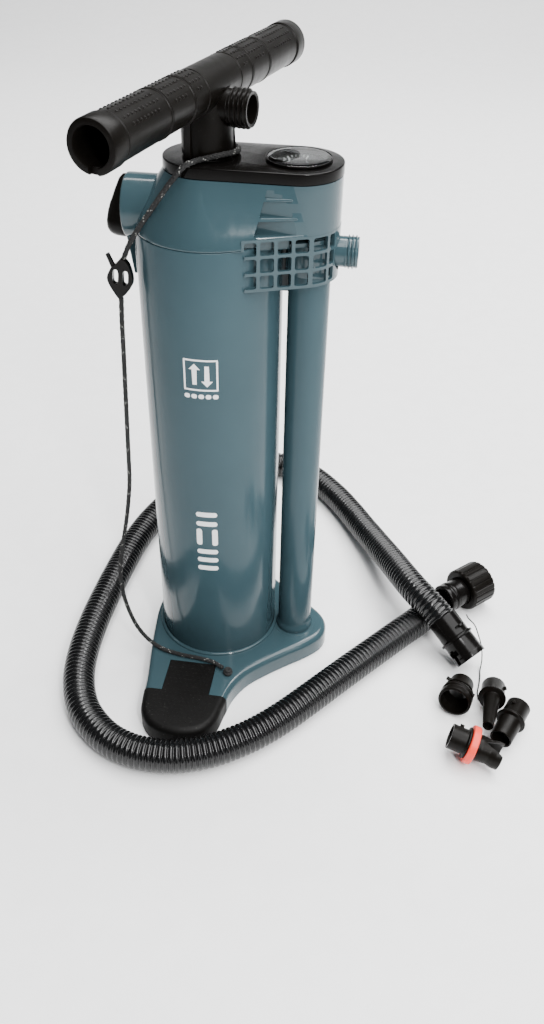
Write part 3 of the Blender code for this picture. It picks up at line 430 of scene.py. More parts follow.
def inset(outline, distance):
    result = []
    for i, point in enumerate(outline):
        before, after = Vector(outline[i - 1][:2]), Vector(outline[(i + 1) % len(outline)][:2])
        along = (after - before).normalized()
        result.append(Vector(point[:2]) + Vector((-along.y, along.x)) * distance)
    return result


def spline(points, steps, closed=False):
    total = len(points)
    spans = total if closed else total - 1
    result = []
    for i in range(spans):
        around = []
        for k in (i - 1, i, i + 1, i + 2):
            around.append(Vector(points[k % total] if closed else points[min(max(k, 0), total - 1)]))
        a, b, c, d = around
        for j in range(steps):
            t = j / steps
            result.append(0.5 * (2 * b + (c - a) * t + (2 * a - 5 * b + 4 * c - d) * t ** 2
                                 + (3 * b - a - 3 * c + d) * t ** 3))
    if not closed:
        result.append(Vector(points[-1]))
    return result


def even(points, spacing):
    lengths = [0.0]
    for a, b in zip(points, points[1:]):
        lengths.append(lengths[-1] + (b - a).length)
    count = max(2, round(lengths[-1] / spacing))
    result, k = [], 0
    for i in range(count + 1):
        want = lengths[-1] * i / count
        while k < len(points) - 2 and lengths[k + 1] < want:
            k += 1
        part = (want - lengths[k]) / (lengths[k + 1] - lengths[k])
        result.append(points[k].lerp(points[k + 1], min(part, 1.0)))
    return result


def length_of(points):
    return sum((b - a).length for a, b in zip(points, points[1:]))


def frames_along(points):
    """For each point of a line: its tangent and two directions across it that don't twist."""
    result = []
    across = None
    for i, point in enumerate(points):
        before, after = points[max(i - 1, 0)], points[min(i + 1, len(points) - 1)]
        tangent = (after - before).normalized()
        if across is None:
            across = tangent.cross(UP)
            if across.length < 0.1:
                across = tangent.cross(Vector((1, 0, 0)))
        across = (across - tangent * across.dot(tangent)).normalized()
        result.append((tangent, across, tangent.cross(across)))
    return result


def tube_rings(bm, points, radii, around, index=0):
    """Add a tube along points in mm, with a radius at each, and close its ends."""
    rings = []
    for point, (_, u, v), radius in zip(points, frames_along(points), radii):
        ring = []
        for k in range(around):
            angle = 2 * math.pi * k / around
            ring.append(bm.verts.new((point + (u * math.cos(angle) + v * math.sin(angle)) * radius) * MM))
        rings.append(ring)
    faces = []
    for low, high in zip(rings, rings[1:]):
        for k in range(around):
            j = (k + 1) % around
            faces.append(bm.faces.new((low[k], low[j], high[j], high[k])))
    faces.append(bm.faces.new(rings[0][::-1]))
    faces.append(bm.faces.new(rings[-1]))
    for face in faces:
        face.material_index = index
        face.smooth = True
    return faces


def put(piece, body, *replaced, slot=None):
    """Ride the piece on a body, and let it stand for the CAD nodes it replaces."""
    bake_place(piece)
    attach(piece, body)
    if replaced:
        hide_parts(*replaced)
    return piece


# ---------------------------------------------------------------- camera, floor and light

def make_camera():
    data = bpy.data.cameras.new("camera")
    camera = bpy.data.objects.new("camera", data)
    bpy.context.scene.collection.objects.link(camera)
    data.sensor_width = 36.0
    data.lens = 32.16
    data.clip_start = 0.02
    data.clip_end = 50.0
    turn, pitch, roll = math.radians(-7.26), math.radians(38.28), math.radians(1.23)
    forward = Vector((math.sin(turn) * math.cos(pitch), math.cos(turn) * math.cos(pitch), -math.sin(pitch)))
    level = Vector((math.cos(turn), -math.sin(turn), 0))
    upright = level.cross(forward)
    right = level * math.cos(roll) + upright * math.sin(roll)
    top = upright * math.cos(roll) - level * math.sin(roll)
    camera.matrix_world = Matrix.Translation((0.12714, -0.61719, 0.64069)) @ Matrix(
        (right, top, -forward)).transposed().to_4x4()
    bpy.context.scene.camera = camera


def area_light(name, place, target, size, power, colour=(1, 1, 1)):
    data = bpy.data.lights.new(name, "AREA")
    data.shape = "RECTANGLE"
    data.size, data.size_y = size
    data.energy = power
    data.color = colour
    light = bpy.data.objects.new(name, data)
    bpy.context.scene.collection.objects.link(light)
    light.location = place
    light.rotation_euler = (Vector(target) - Vector(place)).to_track_quat("-Z", "Y").to_euler()


def make_studio():
    bm = bmesh.new()
    reach, rise, steps = 6.0, 3.0, 12
    rows = [(-reach, 0.0)] + [(2.2 + rise * math.sin(a), rise - rise * math.cos(a))
                              for a in (math.pi / 2 * k / steps for k in range(steps + 1))]
    loops = [[bm.verts.new((x, y, z)) for x in (-reach, reach)] for y, z in rows]
    for a, b in zip(loops, loops[1:]):
        bm.faces.new((a[0], a[1], b[1], b[0]))
    floor = mesh_object("studio_floor", bm, floor_material())
    floor.location.z = -0.0004
    floor.data.shade_smooth()
    world = bpy.data.worlds.new("studio")
    world.use_nodes = True
    sky = world.node_tree.nodes["Background"]
    sky.inputs["Color"].default_value = (0.93, 0.96, 1.0, 1)
    sky.inputs["Strength"].default_value = 0.16
    bpy.context.scene.world = world
    area_light("overhead", (0.75, 0.1, 2.4), (0.2, 0.0, 0.0), (3.2, 2.4), 205.0)
    area_light("front_right", (1.5, -1.1, 1.1), (0.0, 0.0, 0.25), (0.7, 1.3), 9.0)
    area_light("window", (0.54, -0.93, 1.05), (0.035, -0.04, 0.412), (0.10, 0.46), 13.0)
    area_light("backdrop", (0.2, 1.2, 2.6), (0.2, 3.2, 0.4), (3.0, 0.8), 120.0)

make_camera()
make_studio()

# ---------------------------------------------------------------- cords and hose

HOSE_R = 14.0
CORD_R = 2.0
STRING_R = 0.7
CUFF_A = ((212.9, 51.6, 20.6), (252.0, 87.6, 21.2))
CUFF_B = ((208.9, 8.1, 37.8), (238.6, -18.9, 17.6))
HOSE_ROUTE = [(209.6, 48.2, 20.2), (201.6, 39.2, 17.6), (192.6, 28.8, 15.4), (183.0, 17.6, 14.4),
              (172.8, 6.1, 14.3), (146.2, -25.6, 14.3), (121.4, -55.5, 14.3), (98.3, -83.8, 14.3),
              (76.2, -110.1, 14.3), (53.4, -132.6, 14.3), (27.5, -151.0, 14.3), (4.0, -161.5, 14.3),
              (-19.0, -165.8, 14.3), (-45.3, -163.7, 14.3), (-71.1, -152.2, 14.3),
              (-95.0, -128.6, 14.3), (-109.6, -97.0, 14.3), (-115.9, -62.2, 14.3),
              (-117.4, -25.2, 14.3), (-116.2, 12.4, 14.3), (-113.4, 53.2, 14.3),
              (-109.0, 94.7, 14.3), (-100.5, 135.0, 14.3), (-84.0, 178.0, 14.3),
              (-58.0, 222.0, 14.3), (-20.0, 254.0, 14.3), (24.7, 261.0, 14.3), (60.0, 246.0, 14.3),
              (90.4, 215.3, 14.3), (112.4, 183.0, 15.6), (125.6, 158.5, 18.2), (138.8, 132.4, 22.6),
              (150.7, 106.0, 29.0), (162.1, 79.3, 36.2), (172.2, 55.1, 42.4), (181.4, 37.2, 45.4),
              (189.6, 25.6, 45.6), (197.3, 18.0, 43.8), (204.2, 12.1, 40.6), (208.6, 8.3, 38.0)]
LANYARD_UPPER = [(2.5, 20.0, 451.4), (10.5, 17.6, 451.4), (17.6, 11.0, 451.4), (20.4, 3.5, 451.9),
                 (18.7, -7.5, 453.2), (14.6, -14.2, 453.8), (8.6, -18.2, 453.2), (3.4, -19.9, 452.2),
                 (-0.9, -22.0, 451.6), (-3.6, -26.6, 451.8), (-6.4, -31.4, 451.7), (-9.6, -33.8, 450.0),
                 (-13.0, -33.8, 446.4), (-16.6, -33.2, 441.8), (-20.2, -32.6, 437.4),
                 (-23.6, -32.6, 432.9), (-27.2, -32.8, 427.9), (-30.8, -32.8, 423.0),
                 (-34.4, -32.6, 418.0), (-38.2, -32.0, 412.8), (-42.2, -31.4, 407.0),
                 (-46.4, -30.8, 401.0), (-50.4, -29.6, 394.4), (-53.4, -29.2, 388.2), (-55.3, -29.9, 383.6)]
LANYARD_LOWER = [(-60.0, -28.0, 353.6), (-61.1, -28.0, 336.0), (-62.4, -28.0, 303.0),
                 (-63.9, -28.0, 268.0), (-65.4, -28.2, 230.5), (-67.0, -29.0, 191.5),
                 (-69.6, -30.0, 169.0), (-72.6, -31.0, 149.5), (-76.0, -32.0, 131.5),
                 (-79.2, -33.2, 114.5), (-81.4, -34.5, 98.5), (-81.6, -36.0, 84.0),
                 (-80.2, -38.0, 70.0), (-77.6, -40.0, 59.0), (-74.2, -42.0, 49.0),
                 (-69.8, -44.2, 39.5), (-63.6, -46.8, 31.0), (-55.6, -50.0, 25.0),
                 (-47.0, -53.6, 22.6), (-39.0, -57.0, 22.4), (-23.0, -60.4, 22.4),
                 (-6.0, -62.4, 22.6), (6.0, -65.6, 23.4), (12.0, -68.8, 23.6), (16.2, -71.2, 23.6)]
STRING_ROUTE = [(230.6, 8.0, 45.6), (232.6, 4.6, 44.4), (238.6, 0.4, 41.0), (243.6, -2.6, 31.0),
                (248.2, -4.0, 18.0), (250.0, -9.6, 7.4), (248.8, -18.6, 1.6), (248.4, -27.0, 1.1),
                (247.2, -36.0, 1.1), (245.6, -44.6, 1.1), (246.0, -53.0, 1.1)]
HOSE_PITCH = 4.35


def make_hose():
    """The hose as its real corrugated wall: one rounded crest and one narrow valley in each pitch."""
    path = spline(HOSE_ROUTE, 12)
    per_pitch = 8
    count = round(length_of(path) / HOSE_PITCH)
    points = even(path, HOSE_PITCH / per_pitch)
    radii = []
    for i in range(len(points)):
        phase = (i / per_pitch) % 1.0
        crest = math.sin(math.pi * phase) ** 0.55
        radii.append(12.0 + 2.05 * crest)
    ends = min(3 * per_pitch, len(points) // 4)
    for i in range(ends):
        radii[-1 - i] = min(radii[-1 - i], 13.7)
    bm = bmesh.new()
    tube_rings(bm, points, radii, 36)
    hose = mesh_object("hose_wall", bm, HOSE)
    hose.data.shade_smooth()
    put(hose, "pump_body", "hose", slot="hose")
    return hose, points, count


def braid(name, route, radius, strands, pitch, material, painted_highlight, body, replaced, slot):
    """A round cord as woven yarns that run over and under each other round a core, with pale highlights painted on
    runs of one yarn.
    """
    path = even(spline(route, 12), 0.9)
    ways = frames_along(path)
    bm = bmesh.new()
    tube_rings(bm, path[::3] + [path[-1]], [radius * 0.70] * (len(path[::3]) + 1), 8)
    yarn = radius * 0.30
    base = radius - yarn * 1.25
    for way in (-1, 1):
        for strand in range(strands):
            offset = 2 * math.pi * strand / strands
            line = []
            for i, (point, (_, u, v)) in enumerate(zip(path, ways)):
                turn = 2 * math.pi * (i * 0.9) / pitch
                angle = offset + way * turn
                weave = math.cos(strands * (turn + (0 if way > 0 else math.pi / strands)) + strand * math.pi)
                distance = base + yarn * 0.42 * weave * way
                line.append(point + (u * math.cos(angle) + v * math.sin(angle)) * distance)
            # Runs of the first yarn get the pale material as painted highlights
            glint_strand = painted_highlight and strand == 0
            tube = tube_rings(bm, line, [yarn] * len(line), 6)
            if glint_strand:
                for number, face in enumerate(tube[:-2]):
                    step = number // 6
                    if (step // 4) % 4 == (0 if way > 0 else 2):
                        face.material_index = 1
    cord = mesh_object(name, bm, material)
    if painted_highlight:
        cord.data.materials.append(painted_highlight)
    put(cord, body, replaced, slot=slot)
    return cord, path


hose, hose_path, corrugations = make_hose()
upper, upper_path = braid("lanyard_braid_upper", LANYARD_UPPER, CORD_R, 4, 11.0, CORD, BRAID_HIGHLIGHT_PAINT, "pump_body",
                          "lanyard_upper", "cord")
lower, lower_path = braid("lanyard_braid_lower", LANYARD_LOWER, CORD_R, 4, 11.0, CORD, BRAID_HIGHLIGHT_PAINT, "pump_body",
                          "lanyard_lower", "cord")
string, string_path = braid("adapter_string_ply", STRING_ROUTE, STRING_R, 2, 4.0, CORD, None, "pump_body",
                            "adapter_string", "cord")


# ---------------------------------------------------------------- barrel, side tube and print

def make_barrel():
    profile = rounded([(BORE_R, 14.5), (BARREL_R, 14.5), (BARREL_R, BARREL_TOP), (BORE_R, BARREL_TOP)], 0.8)
    barrel = smooth(turned("barrel_wall", profile, GREY_TUBE, 160))
    put(barrel, "pump_body", "main_barrel", slot="grey")
    shape = rounded([(12.7, 14.5), (TUBE_R, 14.5), (TUBE_R, 20.4), (TUBE_R + 1.4, 20.4),
                     (TUBE_R + 1.4, 24.0), (TUBE_R + 0.2, 28.5), (TUBE_R, 31.0), (TUBE_R, 376.8),
                     (12.7, 376.8)], 0.7)
    tube = smooth(turned("side_tube_wall", shape, GREY_TUBE, 96, (TUBE_X, 0, 0)))
    put(tube, "pump_body", "side_tube", slot="grey")


def print_patch(bm, columns, proud=0.12):
    """A thin printed patch on the barrel: columns of (distance round it, lower height, upper height)."""
    rows = []
    for along, low, high in columns:
        angle = along / BARREL_R
        ring = []
        for radius in (BARREL_R - 0.1, BARREL_R + proud):
            for height in (low, high):
                ring.append(bm.verts.new((radius * math.cos(angle) * MM, radius * math.sin(angle) * MM,
                                          height * MM)))
        rows.append(ring)
    for a, b in zip(rows, rows[1:]):
        for i, j in ((0, 1), (1, 3), (3, 2), (2, 0)):
            bm.faces.new((a[i], a[j], b[j], b[i]))
    for ring in (rows[0], rows[-1]):
        bm.faces.new((ring[0], ring[1], ring[3], ring[2]))


def bar(bm, centre, middle, width, height):
    """A printed bar with rounded ends, centred at a distance round the barrel and a height."""
    half, tall = width / 2, height / 2
    corner = min(half, tall) * 0.9
    columns = []
    for k in range(25):
        x = -half + width * k / 24
        over = max(0.0, abs(x) - (half - corner))
        reach = tall - corner + math.sqrt(max(0.0, corner ** 2 - over ** 2))
        columns.append((centre + x, middle - max(reach, 0.05), middle + max(reach, 0.05)))
    print_patch(bm, columns)


def arrow(bm, centre, tip, tail, width, stem):
    """A printed arrow that points from tail to tip, both heights."""
    sign = 1 if tip > tail else -1
    neck = tip - sign * width * 0.55
    columns = []
    for k in range(33):
        x = -width / 2 + width * k / 32
        outer = tip - sign * (abs(x) / (width / 2)) * abs(tip - neck)
        inner = tail if abs(x) <= stem / 2 else neck
        low, high = sorted((outer, inner))
        columns.append((centre + x, low, max(high, low + 0.05)))
    print_patch(bm, columns)


def make_print():
    """White print: a framed pair of arrows for the two strokes, a line under it, and a stroke scale."""
    bm = bmesh.new()
    middle = math.radians(-88.6) * BARREL_R
    size, line = 25.5, 1.3
    for side in (-1, 1):
        bar(bm, middle + side * (size / 2 - line / 2), 309.3, line, size)
        bar(bm, middle, 309.3 + side * (size / 2 - line / 2), size, line)
    arrow(bm, middle - 4.6, 318.6, 301.6, 8.4, 3.6)
    arrow(bm, middle + 4.6, 300.0, 317.0, 8.4, 3.6)
    for k in range(5):
        bar(bm, middle - 10.6 + 5.3 * k, 291.8, 4.2, 3.6)
    column = math.radians(-87.8) * BARREL_R
    bar(bm, column, 181.5, 17.5, 4.6)
    bar(bm, column, 172.0, 17.5, 4.6)
    bar(bm, column - 6.45, 158.0, 4.6, 17.0)
    bar(bm, column + 6.45, 158.0, 4.6, 17.0)
    bar(bm, column, 142.5, 17.5, 4.6)
    bar(bm, column, 133.5, 17.5, 4.6)
    bar(bm, column, 124.5, 17.5, 4.6)
    patch = mesh_object("barrel_print", bm, WHITE)
    put(patch, "pump_body", slot="natural")


# ---------------------------------------------------------------- base and foot pads

BASE_HALF = [(-60, 0), (-58.8, -18), (-55.2, -50), (-50.4, -84), (-48.0, -110), (-45.0, -126),
             (-34, -139), (-12, -144.5), (9, -139), (19.5, -126), (23.5, -108), (28.0, -88),
             (37.5, -70), (52, -55), (69, -40.5), (86.5, -26.5), (98.5, -13.5), (102.3, 0)]
PAD_EDGE = 100.7
PAD_TAB = ((-32.5, -101.5), (9.0, -66.0))
RIM = 3.3
LANYARD_HOLE = (21.4, -74.1)


def base_outline():
    half = [Vector(p) for p in BASE_HALF]
    rear = [Vector((p.x, -p.y)) for p in reversed(half[1:-1])]
    return even(spline(half + rear, 8, closed=True) + [half[0]], 2.4)[:-1]


def slab(name, outline, top, material, fillet=6.0):
    rings = [(inset(outline, 0.6), 0.0), (outline, 0.7)]
    for k in range(9):
        angle = math.pi / 2 * k / 8
        rings.append((inset(outline, fillet * (1 - math.cos(angle))), top - fillet + fillet * math.sin(angle)))
    return stacked(name, rings, material)


def make_base():
    outline = base_outline()
    base = slab("base_moulding", outline, DECK_Z, GREY)
    for side in (-1, 1):
        low, high = sorted((side * PAD_EDGE, side * 200))
        cut(base, block("tip", (-90, low, -5), (90, high, 40)))
    join(base, prism("core", inset(outline, RIM), 0, DECK_Z - RIM, GREY))
    (x_low, y_front), (x_high, y_back) = PAD_TAB
    for side in (1, -1):
        low, high = sorted((side * y_front, side * (y_back + GAP)))
        cut(base, block("tab", (x_low - GAP, low, DECK_Z - RIM), (x_high + GAP, high, 40)))
    cut(base, prism("hollow", inset(outline, 6.5), -1, DECK_Z - 2 * RIM, SHADE))
    collar = turned("collar", rounded([(44, 12), (55.4, 12), (55.4, DECK_Z + 1.2), (54.4, DECK_Z + 2.2),
                                       (44, DECK_Z + 2.2)], 0.6), GREY, 96)
    foot = turned("foot", rounded([(10.9, 12), (19.4, 12), (19.4, DECK_Z + 0.2), (10.9, DECK_Z + 0.2)], 0.3),
                  GREY, 64, (TUBE_X, 0, 0))
    join(base, collar, foot)
    cut(base, rod(BARREL_R + GAP, (0, 0, 14.2), (0, 0, 40), 160),
        rod(49.8, (0, 0, -2), (0, 0, 20), 96),
        rod(TUBE_R + GAP, (TUBE_X, 0, 14.2), (TUBE_X, 0, 40), 96),
        rod(2.6, (*LANYARD_HOLE, 5), (*LANYARD_HOLE, 30), 24))
    smooth(soften(base, 0.6))
    put(base, "pump_body", "base_shell", slot="grey")


def make_foot_pad(name, node, side):
    """A rubber cap with a raised lip and a grid of small grip pips on its top."""
    outline = base_outline()
    pad = slab(name, outline, DECK_Z + 0.6, RUBBER)
    low, high = sorted((side * (PAD_EDGE + GAP), -side * 200))
    cut(pad, block("rest", (-90, low, -5), (120, high, 40)))
    cut(pad, prism("core", inset(outline, RIM - GAP), -1, DECK_Z - RIM + GAP, RUBBER))
    (x_low, y_front), (x_high, y_back) = PAD_TAB
    low, high = sorted((-side * y_front, -side * y_back))
    tab = block("tab", (x_low, low, DECK_Z - RIM + GAP), (x_high, high, DECK_Z + 0.6), RUBBER)
    join(pad, tab)
    smooth(soften(pad, 0.9, 3))
    put(pad, "pump_body", node, slot="pad_rubber")
    bm = bmesh.new()
    flat = inset(outline, 8.5)
    for row in range(17):
        for column in range(18):
            x = -46 + column * 4.4 + (row % 2) * 2.2
            y = 70.5 + row * 4.2
            on_tab = x_low + 3 < x < x_high - 3 and y < 101
            if on_tab or (y > 104 and contains(flat, (x, -y))):
                dome(bm, Vector((x, side * y, DECK_Z + 0.55)), UP, 0.9, 0.22)
    pips = mesh_object(name + "_pips", bm, RUBBER)
    pips.data.shade_smooth()
    put(pips, "pump_body", slot="pad_rubber")


def contains(outline, point):
    x, y = point
    hit = False
    for i, b in enumerate(outline):
        a = outline[i - 1]
        if (a[1] > y) != (b[1] > y) and x < (b[0] - a[0]) * (y - a[1]) / (b[1] - a[1]) + a[0]:
            hit = not hit
    return hit


def dome(bm, centre, normal, radius, height, rings=3, around=10):
    """A low closed dome standing on a surface."""
    normal = normal.normalized()
    u = normal.cross(Vector((0.31, 0.52, 0.8))).normalized()
    v = normal.cross(u)
    loops = []
    for k in range(rings):
        angle = math.pi / 2 * k / rings
        r, h = radius * math.cos(angle), height * math.sin(angle)
        loops.append([bm.verts.new((centre + (u * math.cos(t) + v * math.sin(t)) * r + normal * h) * MM)
                      for t in (2 * math.pi * n / around for n in range(around))])
    top = bm.verts.new((centre + normal * height) * MM)
    for a, b in zip(loops, loops[1:]):
        for n in range(around):
            m = (n + 1) % around
            bm.faces.new((a[n], a[m], b[m], b[n]))
    for n in range(around):
        bm.faces.new((loops[-1][n], loops[-1][(n + 1) % around], top))
    bm.faces.new(loops[0][::-1])


# ---------------------------------------------------------------- head

GRILLE_PITCH = 12.1
GRILLE_START = 13.9
GRILLE_BAR = 2.4
GRILLE_ROWS = [(373.6, 383.0), (385.0, 394.9), (396.9, 406.3)]
LADDER_STEPS = [(409.0, 418.8), (421.0, 430.8), (433.0, 439.8)]
LATTICE_START_X = 32.0
LEDGE_R = 1.15
LEDGES = [(431.9, 43.6, 62.0), (419.9, 40.9, 65.5), (408.2, 38.4, 70.0)]


def skirt_tangent():
    lean = math.asin((BARREL_R - HEAD_END_R) / HEAD_END_X)
    start = Vector((BARREL_R * math.sin(lean), -BARREL_R * math.cos(lean)))
    finish = Vector((HEAD_END_X + HEAD_END_R * math.sin(lean), -HEAD_END_R * math.cos(lean)))
    return start, finish


def rounded_slot(origin, along, out, low, high, bottom, top, corner=1.6):
    """A cutter through a wall: a rounded rectangle between two distances along it and two heights."""
    points = []
    for (cx, cz), start in (((high - corner, top - corner), 0), ((low + corner, top - corner), 90),
                            ((low + corner, bottom + corner), 180), ((high - corner, bottom + corner), 270)):
        for k in range(5):
            angle = math.radians(start + 22.5 * k)
            points.append((cx + corner * math.cos(angle), cz + corner * math.sin(angle)))
    bm = bmesh.new()
    face = bm.faces.new([bm.verts.new((origin + along * s + out * 3.5 + UP * z) * MM) for s, z in points])
    moved = bmesh.ops.extrude_face_region(bm, geom=[face])["geom"]
    bmesh.ops.translate(bm, verts=[g for g in moved if isinstance(g, bmesh.types.BMVert)],
                        vec=-out * 8.5 * MM)
    return mesh_object("slot", bm, SHADE)


def head_radius(z):
    """Radius of the head's left end at a height: the seam, a rounded shoulder, then the cover."""
    knots = [(401.0, 51.9), (401.7, 52.4), (404.0, 52.1), (408.0, 50.8), (413.0, 48.6), (418.0, 45.6),
             (424.0, 41.6), (430.0, 37.6), (436.0, 33.6), (440.2, 30.9), (441.0, 30.55)]
    for (z0, r0), (z1, r1) in zip(knots, knots[1:]):
        if z <= z1:
            return r0 + (r1 - r0) * (z - z0) / (z1 - z0)
    return knots[-1][1]


def ledge(side, height, start, end):
    """A rounded rib along the front edge of one ladder step, from the fold to where it meets the wall."""
    lean = math.asin((head_radius(height) - HEAD_END_R) / HEAD_END_X)
    across = Vector((math.sin(lean), -math.cos(lean), 0))
    middle = across * head_radius(height)
    ends = []
    for x in (start, end):
        point = middle + Vector((math.cos(lean), math.sin(lean), 0)) * (x - middle.x) / math.cos(lean)
        if x > HEAD_END_X:
            point.y = -math.sqrt(HEAD_END_R ** 2 - (x - HEAD_END_X) ** 2)
        point = point - across * 0.75
        ends.append(Vector((point.x, -side * point.y, height)))
    span = ends[1] - ends[0]
    shape = [(LEDGE_R * math.sin(math.pi / 8 * k), LEDGE_R * (1 - math.cos(math.pi / 8 * k))) for k in range(5)]
    shape += [(r, span.length - z) for r, z in reversed(shape)]
    return turned("ledge", shape, GREY, 20, ends[0], span)


def make_head():
    wide = egg(BARREL_R, HEAD_END_R)
    head = prism("head_moulding", wide, SKIRT_BOTTOM, SKIRT_TOP, GREY)
    cut(head, block("left", (-70, -70, SEAM_Z), (30, 70, SKIRT_TOP + 5)))
    heights = [SEAM_Z - 5, 401.0, 401.4, 402.0, 403.5, 406, 409, 412, 415, 418, 421, 424, 427, 430, 433, 436,
               438.5, 440.2, HEAD_TOP]
    rings = []
    for z in heights:
        radius = head_radius(max(z, SEAM_Z)) if z >= SEAM_Z else 51.9
        end = HEAD_END_R - 0.2 if z < 440 else HEAD_END_R - 0.3
        rings.append((egg(max(radius, end + 0.01), end), z))
    join(head, stacked("shoulder", rings, GREY))
    for side in (-1, 1):
        for bottom, top in LADDER_STEPS:
            step = []
            for z in (bottom, top):
                fold = 45.3 - (440.7 - z) * 0.233
                step += [(fold, side * 31.0, z), (80, side * 31.0, z), (80, side * 60, z),
                         (fold - 1.5, side * 60, z)]
            cut(head, hull("step", step, GREY))
    boss_shape = rounded([(0, 0), (BOSS_R, 0), (BOSS_R, 48), (0, 48)], 1.6, 5)
    join(head, turned("boss", boss_shape, GREY, 96, (BOSS_END_X, 0, BOSS_Z), (1, 0, 0)))
    for side in (-1, 1):
        web = [(-57.5, side * 12, 396), (-57.5, side * 9.6, 396), (-53.2, side * 12, 366),
               (-53.2, side * 9.6, 366), (-40, side * 12, 366), (-40, side * 9.6, 366),
               (-40, side * 12, 396), (-40, side * 9.6, 396)]
        join(head, hull("web", web, GREY))
    cut(head, rod(BARREL_R + GAP, (0, 0, 300), (0, 0, SEAM_Z), 160))
    cut(head, block("start", (0, -70, SKIRT_BOTTOM - 5), (LATTICE_START_X, 70, SEAM_Z - 0.4)))
    cut(head, prism("skirt_space", egg(BARREL_R - WALL, HEAD_END_R - WALL), 300, 398.5, SHADE))
    cut(head, prism("plenum", egg(HEAD_END_R - WALL + 0.01, HEAD_END_R - WALL), 401.5, 445, SHADE))
    cut(head, rod(48.0, (0, 0, 396), (0, 0, 403), 64, SHADE))
    cut(head, rod(17.8, (TUBE_X, 0, 390), (TUBE_X, 0, 405), 48, SHADE))
    cut(head, rod(12.2, (80, 0, PORT_Z), (100, 0, PORT_Z), 64, SHADE))
    cut(head, rod(9.9, (-55.5, 0, BOSS_Z), (-28, 0, BOSS_Z), 48, SHADE))
    cut(head, rod(4.3, (-70, 0, BOSS_Z), (-50, 0, BOSS_Z), 32, SHADE))
    cut(head, rod(1.4, (-54.2, 0, 405), (-54.2, 0, 380), 16, SHADE))
    for side in (-1, 1):
        start, finish = skirt_tangent()
        flat = (finish - start).normalized()
        along = Vector((flat.x, side * -flat.y, 0))
        out = Vector((flat.y, side * flat.x, 0))
        origin = Vector((start.x, side * -start.y, 0))
        for bottom, top in GRILLE_ROWS:
            for column in range(4):
                low = GRILLE_START + GRILLE_PITCH * column - (0 if column == 0 else 1.2)
                high = GRILLE_START + GRILLE_PITCH * (column + 1) - 1.2 - GRILLE_BAR
                cut(head, rounded_slot(origin, along, out, low, high, bottom, top))
            for first, last in ((61, 40), (35.5, 26)):
                middle = math.radians((first + last) / 2)
                width = HEAD_END_R * math.radians(first - last)
                way = Vector((math.cos(middle), side * math.sin(middle), 0))
                across = Vector((-way.y, way.x, 0))
                centre = Vector((HEAD_END_X, 0, 0)) + way * HEAD_END_R
                cut(head, rounded_slot(centre, across, way, -width / 2, width / 2, bottom, top, 1.2))
    # A dark wall between barrel and side tube, in the painted-shade material, so the lattice openings show painted
    # shade
    web = block("web", (52.6, -1.5, 356.0), (56.6, 1.5, 398), SHADE)
    ledges = [ledge(side, *place) for side in (-1, 1) for place in LEDGES]
    head = merge("head_moulding", [head, web, *ledges])
    smooth(head, 12)
    even_shading = head.modifiers.new("even_shading", "WEIGHTED_NORMAL")
    even_shading.keep_sharp = True
    put(head, "pump_body", "head_housing", slot="grey")


def helix_tube(name, root, crest, start, length, pitch, bore, material, origin, direction, lead=1.4):
    """A pipe with a real screw thread outside, fading in and out over one turn, and a plain bore."""
    steps, rows = 72, max(8, round(length / 0.32))
    bm = bmesh.new()
    grid = []
    for j in range(rows + 1):
        z = length * j / rows
        ring = []
        for k in range(steps):
            angle = 2 * math.pi * k / steps
            turn = (z - start) / pitch - k / steps
            phase = turn % 1.0
            ridge = max(0.0, math.cos((phase - 0.5) * 2 * math.pi)) ** 0.6
            fade = min(1.0, max(0.0, (z - start) / lead), max(0.0, (length - 0.6 - z) / lead))
            radius = root + (crest - root) * ridge * max(0.0, fade)
            ring.append(bm.verts.new((radius * math.cos(angle) * MM, radius * math.sin(angle) * MM, z * MM)))
        grid.append(ring)
    inner = []
    for z in (length - 0.4, 0.0):
        inner.append([bm.verts.new((bore * math.cos(2 * math.pi * k / steps) * MM,
                                    bore * math.sin(2 * math.pi * k / steps) * MM, z * MM))
                      for k in range(steps)])
    rings = grid + inner
    for a, b in zip(rings, rings[1:] + rings[:1]):
        for k in range(steps):
            m = (k + 1) % steps
            bm.faces.new((a[k], a[m], b[m], b[k]))
    return aim(mesh_object(name, bm, material), origin, direction)


def make_outlet():
    seat = rounded([(15.5, 373.2), (17.5, 373.2), (17.5, 402.0), (14.3, 402.0), (14.3, 381.0), (8.5, 381.0),
                    (8.5, 377.1), (15.5, 377.1)], 0.4)
    body = turned("body", seat, GREY, 64, (TUBE_X, 0, 0))
    cut(body, rod(8.4, (TUBE_X + 2, 0, PORT_Z), (110, 0, PORT_Z), 48))
    pipe = helix_tube("pipe", 10.6, 11.8, 7.6, 105.6 - 88.8, 2.6, 8.4, GREY, (88.8, 0, PORT_Z), (1, 0, 0))
    outlet = merge("outlet_pipe", [body, pipe])
    smooth(outlet, 40)
    put(outlet, "pump_body", "outlet_manifold", slot="grey")


def make_top_cover():
    outline = egg(HEAD_END_R + 0.01, HEAD_END_R)
    low, top = HEAD_TOP + GAP, COVER_TOP
    rings = [(inset(outline, 0.5), low), (outline, low + 0.5), (outline, top - 0.9)]
    for k in range(1, 5):
        angle = math.pi / 2 * k / 4
        rings.append((inset(outline, 0.9 * (1 - math.cos(angle))), top - 0.9 + 0.9 * math.sin(angle)))
    cover = stacked("cover_plate", rings, BLACK_GLOSS)
    cut(cover, rod(14.0, (0, 0, 430), (0, 0, 460), 64), rod(20.4, (HEAD_END_X, 0, 430), (HEAD_END_X, 0, 460), 80))
    lip = turned("lip", rounded([(14.1, top - 1.5), (17.0, top - 1.5), (17.0, top + 0.3), (14.1, top + 0.3)], 0.4),
                 BLACK_GLOSS, 64)
    join(cover, lip)
    smooth(cover)
    put(cover, "pump_body", "top_cover", slot="black")


